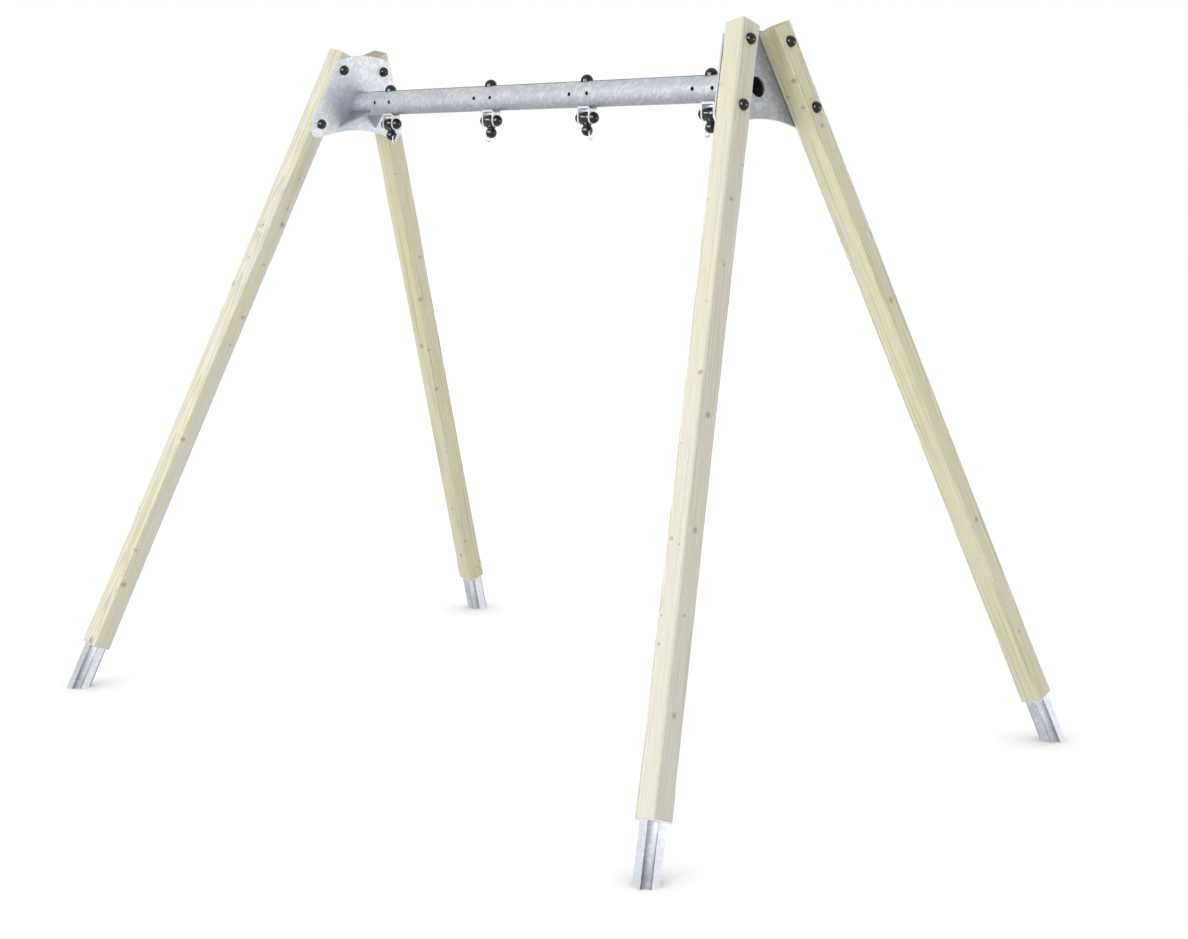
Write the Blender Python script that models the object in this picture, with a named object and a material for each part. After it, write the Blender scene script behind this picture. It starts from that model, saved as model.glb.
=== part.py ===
"""A-frame swing set: four timber posts on steel feet, two end plates and a round steel beam with
four swing hangers. Metres, +Z up. X runs along the beam, Y from front to rear, and the origin is on
the ground under the middle of the beam."""
import math

import bmesh
import bpy
from mathutils import Matrix, Vector

# Overall layout
BEAM_HEIGHT = 2.677            # beam's axis above the ground
PLATE_SPAN = 2.447             # between the outer faces of the two end plates, along the beam's axis
LEAN = math.radians(11.84)     # each A-frame leans outwards towards the ground by this angle
SPLAY = math.radians(21.0)     # each post turns away from the A-frame's centre line by this angle
LEG_SPREAD = 0.349             # between the two posts' centre lines, at the beam's axis
POST_RISE = 0.2225             # post's top above the beam's axis, along the A-frame

# Posts and their feet
POST_SIDE = 0.095
POST_ARRIS = 0.008             # rounding of a post's long edges
FOOT_LENGTH = 0.214            # from the post's end to the ground, along the post's centre line
FOOT_PLATE = 0.004             # thickness of the plate under a post
FOOT_WIDTH = 0.094             # foot profile across its flats
FOOT_GROOVE = 0.027            # radius of the hollow groove at each corner of the profile
FOOT_WALL = 0.004
FOOT_WELD = 0.001              # how far the profile runs into its plate

# Beam and end plates
BEAM_RADIUS = 0.054
BEAM_WALL = 0.004
BEAM_HOLE_RADIUS = 0.0085      # spare fixing holes, one on each side of a hanger
BEAM_HOLE_OFFSET = 0.052       # from the hanger's centre to a spare hole
PLATE_THICKNESS = 0.008
PLATE_HOLE_RADIUS = 0.040      # hole in the plate on the beam's axis
PLATE_CROWN_RISE = 0.2233      # top of the plate above the beam's axis, along the A-frame
PLATE_CROWN_RADIUS = 0.464
PLATE_ARCH_DROP = 0.1225       # middle of the plate's arched lower edge below the beam's axis
PLATE_ARCH_RADIUS = 0.620
PLATE_MARGIN = 0.0455          # from a post's centre line to the plate's edge beside it
PLATE_SHOULDER_RADIUS = 0.022
PLATE_LOBE_RADIUS = 0.0425

# Gussets under the beam at each end plate
GUSSET_THICKNESS = 0.006
GUSSET_LENGTH = 0.120          # along the beam
GUSSET_REACH = 0.096           # out from the beam's surface, along the plate
GUSSET_BLUNT = 0.005           # width left at each pointed end
GUSSET_ANGLE = math.radians(45.0)  # below the horizontal

# Post bolts
BOLT_FROM_TOP = 0.0735         # upper bolt below the post's top, along the post
BOLT_SPACING = 0.268           # from the upper bolt to the lower one
BOLT_RADIUS = 0.006
BOLT_CLEARANCE = 0.0005        # of a bolt in a drilled hole, on the radius
POST_DOME_RADIUS = 0.0228
NUT_DEPTH = 0.014              # blind bore of a domed cap
NUT_CLEARANCE = 0.002          # left between a bolt's end and the bottom of the bore

# Hangers
SEAT_SPACING = 1.286           # between the centres of the two seats
HANGER_SPACING = 0.690         # between the two hangers of one seat
BRACKET_WIDTH = 0.073          # over the two ears, along the beam
BRACKET_DEPTH = 0.045          # front to rear
BRACKET_STEEL = 0.008
BRACKET_BEND = 0.009           # outer radius of the bend between web and ear
EAR_DROP = 0.1016              # centre of an ear's round end below the beam's axis
PIVOT_DROP = 0.0962            # hanger's axle below the beam's axis
AXLE_RADIUS = 0.006
AXLE_CLEARANCE = 0.0004
EAR_DOME_RADIUS = 0.0244
TOP_DOME_RADIUS = 0.0262

# Hanger arm and its shackle
BARREL_RADIUS = 0.0262         # at the middle
BARREL_END_RADIUS = 0.0225
NECK_RADIUS = 0.0162
NECK_HEIGHT = 0.0330           # narrowest place of the neck below the axle
NECK_FLARE_RADIUS = 0.0195     # where the neck runs into the barrel
NECK_FLARE_HEIGHT = 0.0270
BALL_DROP = 0.0510             # ball's centre below the axle
BALL_RADIUS = 0.0238
PIN_OFFSET = 0.0200            # shackle's pin beside the ball's centre, towards the seat
PIN_DROP = 0.0068
PIN_RADIUS = 0.0020
PIN_HEAD_RADIUS = 0.0034
PIN_HEAD_TOP_RADIUS = 0.0024   # flat left on top of a rivet head
PIN_HEAD = 0.0014              # thickness of a rivet head
PIN_CLEARANCE = 0.0003
SHACKLE_ROD = 0.0025           # radius of the bent rod
SHACKLE_WIDTH = 0.0180         # between the centres of its two legs
SHACKLE_DROP = 0.0345          # from the pin to the bottom of the bow
EYE_RADIUS = 0.0050
EYE_CLEARANCE = 0.0005         # of an eye in the recess behind it
BACK_SWING = math.radians(20.0)  # how far the shackle can swing in under the ball

# Clearance between touching pieces, and how round the round pieces are
GAP = 0.0003
BEAM_SIDES = 48
DOME_SIDES = 16
DOME_RINGS = 4
SHANK_SIDES = 12
ROD_SIDES = 8
BEND_STEPS = 4                 # flats in a bend or in the crown of a barrel
EAR_STEPS = 8                  # flats in the round end of an ear, and in a shackle's bow
SHARP_ANGLE = math.radians(35.0)  # edges that turn by more than this are shaded sharp
CUT_MARGIN = 0.02              # a cutter's overshoot past the face that it cuts
RIM_MARGIN = 0.002             # a dome's rim below the beam's surface before it is cut to it

# Cyclic turns that lay a solid built along +Z along +X or +Y, and a swap of Y and Z that stands
# up a side view drawn in XY
ALONG_X = Matrix(((0, 0, 1, 0), (1, 0, 0, 0), (0, 1, 0, 0), (0, 0, 0, 1)))
ALONG_Y = Matrix(((0, 1, 0, 0), (0, 0, 1, 0), (1, 0, 0, 0), (0, 0, 0, 1)))
STAND_UP = Matrix(((1, 0, 0, 0), (0, 0, 1, 0), (0, 1, 0, 0), (0, 0, 0, 1)))


# General helpers

def clear_scene():
    for old in list(bpy.data.objects):
        bpy.data.objects.remove(old, do_unlink=True)


def material(name, colour, roughness, metallic=0.0):
    """A Principled BSDF material; the colour is linear RGB."""
    made = bpy.data.materials.new(name)
    made.use_nodes = True
    shader = made.node_tree.nodes["Principled BSDF"]
    shader.inputs["Base Color"].default_value = (*colour, 1.0)
    shader.inputs["Roughness"].default_value = roughness
    shader.inputs["Metallic"].default_value = metallic
    return made


def to_mesh(name, bm, turn=None):
    """Close a bmesh as a mesh datablock with its faces pointing out."""
    if turn is not None:
        bm.transform(turn)
    bmesh.ops.recalc_face_normals(bm, faces=bm.faces)
    if bm.calc_volume(signed=True) < 0.0:
        bmesh.ops.reverse_faces(bm, faces=bm.faces)
    mesh = bpy.data.meshes.new(name)
    bm.to_mesh(mesh)
    bm.free()
    return mesh


def finished(mesh, finish):
    """Give a mesh its material, and smooth shading between its sharp edges."""
    mesh.materials.clear()
    mesh.materials.append(finish)
    mesh.shade_smooth()
    mesh.set_sharp_from_angle(angle=SHARP_ANGLE)
    return mesh


def place(name, mesh=None, parent=None, location=(0, 0, 0), rotation=(0, 0, 0)):
    """Put a named piece in the scene, or without a mesh a bare axis system that carries pieces."""
    item = bpy.data.objects.new(name, mesh)
    bpy.context.scene.collection.objects.link(item)
    item.parent = parent
    item.location = location
    item.rotation_euler = rotation
    return item


def boolean(base, tools, operation):
    """Join or cut the base mesh with each tool mesh, and return the finished mesh."""
    host = bpy.data.objects.new("boolean_host", base)
    bpy.context.scene.collection.objects.link(host)
    helpers = []
    for tool in tools:
        helper = bpy.data.objects.new("boolean_tool", tool)
        bpy.context.scene.collection.objects.link(helper)
        helper.hide_render = True
        helper.display_type = "WIRE"
        step = host.modifiers.new("step", "BOOLEAN")
        step.operation = operation
        step.solver = "EXACT"
        step.object = helper
        helpers.append(helper)
    bpy.context.view_layer.update()
    result = bpy.data.meshes.new_from_object(host.evaluated_get(bpy.context.evaluated_depsgraph_get()))
    result.name = base.name
    for helper in helpers + [host]:
        bpy.data.objects.remove(helper, do_unlink=True)
    return result


def arc(centre, radius, start, end, steps):
    """Points on a circle from one angle to another, both ends included, a number of flats apart."""
    points = []
    for i in range(steps + 1):
        angle = start + (end - start) * i / steps
        points.append((centre[0] + radius * math.cos(angle), centre[1] + radius * math.sin(angle)))
    return points


def height_at(level, point):
    """A level is a plain height, or a function that gives the height over a point of the outline."""
    return level(point) if callable(level) else level


def prism(outline, low, high):
    """A solid over a closed outline in the XY plane, between two levels that may slant."""
    bm = bmesh.new()
    floor = [bm.verts.new((x, y, height_at(low, (x, y)))) for x, y in outline]
    roof = [bm.verts.new((x, y, height_at(high, (x, y)))) for x, y in outline]
    count = len(outline)
    bm.faces.new(list(reversed(floor)))
    bm.faces.new(roof)
    for i in range(count):
        j = (i + 1) % count
        bm.faces.new((floor[i], floor[j], roof[j], roof[i]))
    return bm


def ring_prism(outer, inner, low, high):
    """A hollow solid between two outlines with as many points each, open at both ends."""
    bm = bmesh.new()
    loops = []
    for outline, level in ((outer, low), (outer, high), (inner, high), (inner, low)):
        loops.append([bm.verts.new((x, y, height_at(level, (x, y)))) for x, y in outline])
    count = len(outer)
    for k in range(4):
        first, second = loops[k], loops[(k + 1) % 4]
        for i in range(count):
            j = (i + 1) % count
            bm.faces.new((first[i], first[j], second[j], second[i]))
    return bm


def turned(profile, sides):
    """A solid of revolution about Z; the profile is (radius, height) from pole to pole."""
    bm = bmesh.new()
    line = [bm.verts.new((radius, 0.0, height)) for radius, height in profile]
    edges = [bm.edges.new(pair) for pair in zip(line, line[1:])]
    bmesh.ops.spin(bm, geom=line + edges, cent=(0, 0, 0), axis=(0, 0, 1), angle=2 * math.pi,
                   steps=sides, use_duplicate=False)
    bmesh.ops.remove_doubles(bm, verts=bm.verts, dist=1e-6)
    return bm


def rod(radius, low, high, sides=SHANK_SIDES):
    """A plain round bar along Z."""
    return turned([(0.0, low), (radius, low), (radius, high), (0.0, high)], sides)


def drill(radius, low, high, lay=Matrix(), sides=SHANK_SIDES):
    """A cutter for a round hole, with flats and not corners towards the axes."""
    return to_mesh("drill", rod(radius, low, high, sides), lay @ Matrix.Rotation(math.pi / sides, 4, "Z"))


def dome_profile(radius, base):
    """The round part of a dome from its rim to its pole, standing on the height given."""
    points = []
    for i in range(DOME_RINGS + 1):
        angle = 0.5 * math.pi * i / DOME_RINGS
        points.append((radius * math.cos(angle), base + radius * math.sin(angle)))
    points[-1] = (0.0, base + radius)
    return points


def rounded_square(side, radius, steps=3):
    """A square outline about the origin with round corners."""
    half = side / 2 - radius
    points = []
    for quarter, (sx, sy) in enumerate(((1, 1), (-1, 1), (-1, -1), (1, -1))):
        start = quarter * math.pi / 2
        points += arc((sx * half, sy * half), radius, start, start + math.pi / 2, steps)
    return points


# Finishes, as linear colours

PINE = material("pressure-treated pine", (0.760, 0.720, 0.540), 0.62)
ZINC = material("hot-dip galvanised steel", (0.560, 0.590, 0.640), 0.42, 0.75)
CAP_PLASTIC = material("black moulded cap", (0.012, 0.013, 0.014), 0.26)
ARM_PLASTIC = material("black moulded arm", (0.015, 0.016, 0.017), 0.34)
STAINLESS = material("stainless steel rod", (0.680, 0.690, 0.700), 0.22, 1.0)

# Derived layout of one A-frame: y is along the frame, h up its slope, from the beam's axis

LEG_DOWN = Vector((math.sin(SPLAY), -math.cos(SPLAY)))
LEG_OUT = Vector((math.cos(SPLAY), math.sin(SPLAY)))
LEG_AT_BEAM = Vector((LEG_SPREAD / 2, 0.0))
POST_TOP = LEG_AT_BEAM - LEG_DOWN * (POST_RISE / math.cos(SPLAY))
POST_X = GAP + POST_SIDE / 2
POST_TOP_HEIGHT = BEAM_HEIGHT + POST_X * math.sin(LEAN) + POST_TOP.y * math.cos(LEAN)
POST_LENGTH = POST_TOP_HEIGHT / (math.cos(SPLAY) * math.cos(LEAN)) - FOOT_LENGTH
BOLT_DROPS = {"upper": BOLT_FROM_TOP, "lower": BOLT_FROM_TOP + BOLT_SPACING}


def frame_axes(side):
    """The axis system of one A-frame: its X points outwards, its Z up the frame's slope."""
    if side == "right":
        return place("frame_right", None, None, (PLATE_SPAN / 2, 0, BEAM_HEIGHT), (0, -LEAN, 0))
    return place("frame_left", None, None, (-PLATE_SPAN / 2, 0, BEAM_HEIGHT), (0, -LEAN, math.pi))


def plate_face_x(height):
    """World x of the right end plate's inner face, at a height over the beam's axis."""
    return PLATE_SPAN / 2 - PLATE_THICKNESS / math.cos(LEAN) - height * math.tan(LEAN)


# Posts

def post_mesh():
    """A planed square post with rounded arrises, cut square, drilled for its two bolts."""
    timber = to_mesh("post", prism(rounded_square(POST_SIDE, POST_ARRIS), -POST_LENGTH, 0.0))
    drills = []
    for drop in BOLT_DROPS.values():
        reach = POST_SIDE / 2 + CUT_MARGIN
        lay = Matrix.Translation((0, 0, -drop)) @ ALONG_X
        drills.append(drill(BOLT_RADIUS + BOLT_CLEARANCE, -reach, reach, lay))
    return boolean(timber, drills, "DIFFERENCE")


# Feet

def foot_outline(inset):
    """The foot's cross shape: four flats joined by hollow quarter rounds, drawn in by the inset."""
    half = FOOT_WIDTH / 2
    radius = FOOT_GROOVE + inset
    tilt = math.asin(inset / radius)
    points = []
    for quarter, (sx, sy) in enumerate(((1, -1), (1, 1), (-1, 1), (-1, -1))):
        start = math.pi + quarter * math.pi / 2 - tilt
        end = math.pi / 2 + quarter * math.pi / 2 + tilt
        points += arc((sx * half, sy * half), radius, start, end, steps=6)
    return points


def foot_mesh(leg_to_world):
    """A profile cut level with the ground, welded to the plate that carries the post."""
    under_post = -POST_LENGTH - GAP
    profile_top = under_post - FOOT_PLATE + FOOT_WELD

    def ground(point):
        start = leg_to_world @ Vector((point[0], point[1], 0.0))
        down = leg_to_world.to_3x3() @ Vector((0.0, 0.0, 1.0))
        return -start.z / down.z

    profile = ring_prism(foot_outline(0.0), foot_outline(FOOT_WALL), ground, profile_top)
    plate = prism(rounded_square(POST_SIDE, POST_ARRIS), under_post - FOOT_PLATE, under_post)
    return boolean(to_mesh("foot", plate), [to_mesh("profile", profile)], "UNION")


# Beam

def hanger_places():
    """Hanger positions along the beam, and the side of each that its seat hangs on."""
    places = []
    for seat in (-SEAT_SPACING / 2, SEAT_SPACING / 2):
        places.append((seat - HANGER_SPACING / 2, 1))
        places.append((seat + HANGER_SPACING / 2, -1))
    return places


def beam_mesh():
    """A round tube whose ends follow the leaning plates, drilled for hangers and spare fixings."""
    full = 2 * math.pi * (BEAM_SIDES - 1) / BEAM_SIDES
    outer = arc((0, 0), BEAM_RADIUS, 0.0, full, BEAM_SIDES - 1)
    inner = arc((0, 0), BEAM_RADIUS - BEAM_WALL, 0.0, full, BEAM_SIDES - 1)

    def right_end(point):
        return plate_face_x(point[1]) - GAP

    def left_end(point):
        return -plate_face_x(point[1]) + GAP

    tube = to_mesh("beam", ring_prism(outer, inner, left_end, right_end), ALONG_X)
    reach = BEAM_RADIUS + CUT_MARGIN
    drills = []
    for x, _ in hanger_places():
        drills.append(drill(BOLT_RADIUS + BOLT_CLEARANCE, -reach, reach, Matrix.Translation((x, 0, 0))))
        for offset in (-BEAM_HOLE_OFFSET, BEAM_HOLE_OFFSET):
            lay = Matrix.Translation((x + offset, 0, 0)) @ ALONG_Y
            drills.append(drill(BEAM_HOLE_RADIUS, -reach, reach, lay))
    return boolean(tube, drills, "DIFFERENCE")


# End plates

def centre_beside_leg(offset, circle_centre, distance):
    """The point that far outside a leg's centre line and that far from a circle's centre."""
    start = LEG_AT_BEAM + LEG_OUT * offset
    away = start - circle_centre
    along = away.dot(LEG_DOWN)
    return start - LEG_DOWN * (along + math.sqrt(along ** 2 - away.length_squared + distance ** 2))


def angle_of(vector):
    return math.atan2(vector.y, vector.x)


def plate_outline():
    """The plate's edge: a crowned top, shoulders, sides along the posts, lobes and an arched foot."""
    crown = Vector((0.0, PLATE_CROWN_RISE - PLATE_CROWN_RADIUS))
    arch = Vector((0.0, -PLATE_ARCH_DROP - PLATE_ARCH_RADIUS))
    shoulder = centre_beside_leg(PLATE_MARGIN - PLATE_SHOULDER_RADIUS, crown,
                                 PLATE_CROWN_RADIUS - PLATE_SHOULDER_RADIUS)
    lobe = centre_beside_leg(PLATE_MARGIN - PLATE_LOBE_RADIUS, arch, PLATE_ARCH_RADIUS + PLATE_LOBE_RADIUS)
    top_turn = angle_of(shoulder - crown)
    foot_turn = angle_of(lobe - arch)
    half = arc(crown, PLATE_CROWN_RADIUS, math.pi / 2, top_turn, steps=5)[:-1]
    half += arc(shoulder, PLATE_SHOULDER_RADIUS, top_turn, SPLAY, steps=3)
    half += arc(lobe, PLATE_LOBE_RADIUS, SPLAY, foot_turn - math.pi, steps=9)
    half += arc(arch, PLATE_ARCH_RADIUS, foot_turn, math.pi / 2, steps=6)[1:]
    other_half = [(-y, h) for y, h in reversed(half[1:-1])]
    return half + other_half


def bolt_places():
    """The four bolts of one A-frame in the plate's plane."""
    places = []
    for drop in BOLT_DROPS.values():
        spot = POST_TOP + LEG_DOWN * drop
        places += [(spot.x, spot.y), (-spot.x, spot.y)]
    return places


def plate_mesh():
    """A flat plate on the inner faces of two posts, with bolt holes and a hole behind the beam."""
    sheet = to_mesh("end_plate", prism(plate_outline(), -PLATE_THICKNESS, 0.0), ALONG_X)
    reach = PLATE_THICKNESS + CUT_MARGIN
    drills = [drill(PLATE_HOLE_RADIUS, -reach, reach, ALONG_X, BEAM_SIDES // 2)]
    for y, h in bolt_places():
        lay = Matrix.Translation((0, y, h)) @ ALONG_X
        drills.append(drill(BOLT_RADIUS + BOLT_CLEARANCE, -reach, reach, lay))
    return boolean(sheet, drills, "DIFFERENCE")


# Gussets

def gusset_mesh(side_y):
    """A three-cornered fin between beam and plate, under the front or the rear of the beam."""
    inner = BEAM_RADIUS + GAP
    outer = BEAM_RADIUS + GUSSET_REACH
    half = GUSSET_THICKNESS / 2
    radial = Vector((side_y * math.cos(GUSSET_ANGLE), -math.sin(GUSSET_ANGLE)))
    across = Vector((-radial.y, radial.x))
    free_end = plate_face_x(0.0) - GUSSET_LENGTH

    def yz(point):
        return across * point[0] + radial * point[1]

    def plate_end(point):
        return plate_face_x(yz(point).y) - GAP

    def sloping_end(point):
        if point[1] < outer - GUSSET_BLUNT:
            return free_end
        tip = plate_face_x(-outer * math.sin(GUSSET_ANGLE))
        return tip - GUSSET_BLUNT

    outline = [(-half, inner), (half, inner), (half, inner + GUSSET_BLUNT), (half, outer),
               (-half, outer), (-half, inner + GUSSET_BLUNT)]
    lay = Matrix(((0, 0, 1, 0), (across.x, radial.x, 0, 0), (across.y, radial.y, 0, 0), (0, 0, 0, 1)))
    return to_mesh("gusset", prism(outline, sloping_end, plate_end), lay)


# Domed bolts and caps

def domed_bolt_mesh(name, dome_radius, shank_radius, length):
    """A bolt along +X: its dome stands outwards from x = 0 and its shank runs inwards."""
    profile = [(0.0, -length), (shank_radius, -length), (shank_radius, 0.0)]
    profile += dome_profile(dome_radius, 0.0)
    return to_mesh(name, turned(profile, DOME_SIDES), ALONG_X)


def domed_cap_mesh(name, dome_radius, shank_radius):
    """A domed cap nut: a hemisphere on x = 0 with a blind bore for the bolt's end."""
    bore = shank_radius + GAP
    profile = [(0.0, NUT_DEPTH), (bore, NUT_DEPTH), (bore, 0.0)]
    profile += dome_profile(dome_radius, 0.0)
    return to_mesh(name, turned(profile, DOME_SIDES), ALONG_X)


def into_cap(grip):
    """Shank length that passes a grip, with a gap at each end of it, and ends in a cap's bore."""
    return grip + 2 * GAP + NUT_DEPTH - NUT_CLEARANCE


# Hangers, each about the beam's axis above it

def bracket_mesh():
    """A clevis bent from flat bar, its web curved to the beam and its ears round at the bottom."""
    saddle = BEAM_RADIUS + GAP
    half = BRACKET_WIDTH / 2
    ear_radius = BRACKET_DEPTH / 2
    stations = []
    for i in range(EAR_STEPS + 1):
        y = -ear_radius * math.cos(math.pi * i / EAR_STEPS)
        top = -math.sqrt(saddle ** 2 - y ** 2)
        under = -math.sqrt((saddle + BRACKET_STEEL) ** 2 - y ** 2)
        bottom = -EAR_DROP - math.sqrt(max(ear_radius ** 2 - y ** 2, 0.0))
        inside = half - BRACKET_STEEL
        corner = half - BRACKET_BEND
        section = [(half, bottom)]
        section += arc((corner, top - BRACKET_BEND), BRACKET_BEND, 0.0, math.pi / 2, BEND_STEPS)
        section += arc((-corner, top - BRACKET_BEND), BRACKET_BEND, math.pi / 2, math.pi, BEND_STEPS)
        section += [(-half, bottom), (-inside, bottom), (-inside, under), (inside, under), (inside, bottom)]
        stations.append([(x, y, z) for x, z in section])
    bm = bmesh.new()
    rings = [[bm.verts.new(point) for point in station] for station in stations]
    count = len(rings[0])
    for first, second in zip(rings, rings[1:]):
        for i in range(count):
            j = (i + 1) % count
            bm.faces.new((first[i], first[j], second[j], second[i]))
    bm.faces.new(rings[0])
    bm.faces.new(rings[-1])
    strap = to_mesh("hanger_bracket", bm)
    reach = half + CUT_MARGIN
    pivot = drill(AXLE_RADIUS + AXLE_CLEARANCE, -reach, reach,
                  Matrix.Translation((0, 0, -PIVOT_DROP)) @ ALONG_X)
    tapped = drill(BOLT_RADIUS + GAP, -saddle - BRACKET_STEEL - CUT_MARGIN, 0.0)
    return boolean(strap, [pivot, tapped], "DIFFERENCE")


def hanger_bolt_mesh():
    """A bolt down through the beam into the bracket's web, with a dome fitted to the beam's top."""
    saddle = BEAM_RADIUS + GAP
    rim = math.sqrt(saddle ** 2 - TOP_DOME_RADIUS ** 2) - RIM_MARGIN
    profile = [(0.0, rim), (TOP_DOME_RADIUS, rim)] + dome_profile(TOP_DOME_RADIUS, BEAM_RADIUS)
    reach = TOP_DOME_RADIUS + CUT_MARGIN
    beam_form = to_mesh("beam_form", rod(saddle, -reach, reach, BEAM_SIDES), ALONG_X)
    dome = boolean(to_mesh("hanger_bolt", turned(profile, DOME_SIDES)), [beam_form], "DIFFERENCE")
    flush_end = -BEAM_RADIUS - BRACKET_STEEL
    inside_dome = BEAM_RADIUS + TOP_DOME_RADIUS / 2
    shank = to_mesh("shank", rod(BOLT_RADIUS, flush_end, inside_dome))
    return boolean(dome, [shank], "UNION")


def recess_outline():
    """Side view of the room for an eye and its leg, down to the shackle's furthest back swing."""
    radius = EYE_RADIUS + EYE_CLEARANCE
    far = BALL_RADIUS + CUT_MARGIN
    pin = (PIN_OFFSET, -BALL_DROP - PIN_DROP)
    round_part = arc(pin, radius, math.pi / 2, math.pi + BACK_SWING, steps=6)
    x, z = round_part[-1]
    foot = (x - far * math.sin(BACK_SWING), z - far * math.cos(BACK_SWING))
    return round_part + [foot, (far, foot[1]), (far, pin[1] + radius)]


def arm_mesh():
    """The moulded arm about its axle: a crowned barrel, a neck and a ball with a tongue for the pin."""
    half = BRACKET_WIDTH / 2 - BRACKET_STEEL - GAP
    crown = []
    for i in range(BEND_STEPS + 1):
        x = -half + 2 * half * i / BEND_STEPS
        swell = (BARREL_RADIUS - BARREL_END_RADIUS) * (1.0 - (x / half) ** 2)
        crown.append((BARREL_END_RADIUS + swell, x))
    barrel = to_mesh("hanger_arm", turned([(0.0, -half)] + crown + [(0.0, half)], DOME_SIDES), ALONG_X)
    neck_turn = math.acos(NECK_RADIUS / BALL_RADIUS)
    inside_barrel = -BARREL_END_RADIUS / 2
    stem = [(0.0, -BALL_DROP - BALL_RADIUS)]
    stem += arc((0.0, -BALL_DROP), BALL_RADIUS, -math.pi / 2, neck_turn, steps=6)[1:]
    stem += [(NECK_RADIUS, -NECK_HEIGHT), (NECK_FLARE_RADIUS, -NECK_FLARE_HEIGHT)]
    stem += [(NECK_FLARE_RADIUS, inside_barrel), (0.0, inside_barrel)]
    body = boolean(barrel, [to_mesh("stem", turned(stem, DOME_SIDES))], "UNION")
    tongue = SHACKLE_WIDTH / 2 - SHACKLE_ROD - GAP
    reach = BALL_RADIUS + CUT_MARGIN
    far = half + CUT_MARGIN
    cutters = [drill(AXLE_RADIUS + AXLE_CLEARANCE, -far, far, ALONG_X)]
    cutters.append(to_mesh("front_recess", prism(recess_outline(), -reach, -tongue), STAND_UP))
    cutters.append(to_mesh("rear_recess", prism(recess_outline(), tongue, reach), STAND_UP))
    lay = Matrix.Translation((PIN_OFFSET, 0, -BALL_DROP - PIN_DROP)) @ ALONG_Y
    cutters.append(drill(PIN_RADIUS + PIN_CLEARANCE, -reach, reach, lay))
    return boolean(body, cutters, "DIFFERENCE")


def shackle_mesh():
    """A bow of bent rod about its pin: two eyes, two legs and a half-round bottom."""
    radius = SHACKLE_WIDTH / 2
    turn = -SHACKLE_DROP + SHACKLE_ROD + radius
    bow = arc((0.0, turn), radius, math.pi, 2 * math.pi, EAR_STEPS)
    path = [(-radius, 0.0)] + bow + [(radius, 0.0)]
    bm = bmesh.new()
    rings = []
    for i, (y, z) in enumerate(path):
        before = Vector(path[max(i - 1, 0)])
        after = Vector(path[min(i + 1, len(path) - 1)])
        run = (after - before).normalized()
        normal = Vector((run.y, -run.x))
        ring = []
        for k in range(ROD_SIDES):
            angle = 2 * math.pi * (k + 0.5) / ROD_SIDES
            out = normal * (SHACKLE_ROD * math.cos(angle))
            ring.append(bm.verts.new((SHACKLE_ROD * math.sin(angle), y + out.x, z + out.y)))
        rings.append(ring)
    for first, second in zip(rings, rings[1:]):
        for k in range(ROD_SIDES):
            m = (k + 1) % ROD_SIDES
            bm.faces.new((first[k], first[m], second[m], second[k]))
    bm.faces.new(rings[0])
    bm.faces.new(rings[-1])
    eyes = []
    for side in (-radius, radius):
        eyes.append(to_mesh("eye", rod(EYE_RADIUS, side - SHACKLE_ROD, side + SHACKLE_ROD), ALONG_Y))
    bent_rod = boolean(to_mesh("shackle", bm), eyes, "UNION")
    reach = radius + CUT_MARGIN
    return boolean(bent_rod, [drill(PIN_RADIUS + PIN_CLEARANCE, -reach, reach, ALONG_Y)], "DIFFERENCE")


def pin_mesh():
    """A pin with a rivet head outside each eye of the shackle."""
    seat = SHACKLE_WIDTH / 2 + SHACKLE_ROD + GAP
    end = seat + PIN_HEAD
    profile = [(0.0, -end), (PIN_HEAD_TOP_RADIUS, -end), (PIN_HEAD_RADIUS, -seat), (PIN_RADIUS, -seat)]
    profile += [(PIN_RADIUS, seat), (PIN_HEAD_RADIUS, seat), (PIN_HEAD_TOP_RADIUS, end), (0.0, end)]
    return to_mesh("shackle_pin", turned(profile, SHANK_SIDES), ALONG_Y)


# Assembly

def build_end(side):
    """One A-frame: its plate, gussets, two posts with feet, four bolts and their caps."""
    frame = frame_axes(side)
    place("end_plate_" + side, PLATE, frame)
    turn = 0.0 if side == "right" else math.pi
    for way, gusset in ((1, GUSSET_PLUS), (-1, GUSSET_MINUS)):
        end = "rear" if (way > 0) == (side == "right") else "front"
        corner = end + "_" + side
        place("gusset_" + corner, gusset, None, (0, 0, BEAM_HEIGHT), (0, 0, turn))
        leg = place("leg_" + corner, None, frame, (POST_X, way * POST_TOP.x, POST_TOP.y), (way * SPLAY, 0, 0))
        place("post_" + corner, POST, leg)
        bpy.context.view_layer.update()
        place("foot_" + corner, finished(foot_mesh(leg.matrix_world), ZINC), leg)
        for level, drop in BOLT_DROPS.items():
            label = corner + "_" + level
            outer_face = POST_SIDE / 2 + GAP
            inner_face = -POST_SIDE / 2 - PLATE_THICKNESS - 2 * GAP
            place("post_bolt_" + label, POST_BOLT, leg, (outer_face, 0, -drop))
            place("post_cap_" + label, POST_CAP, leg, (inner_face, 0, -drop), (0, 0, math.pi))


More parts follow.
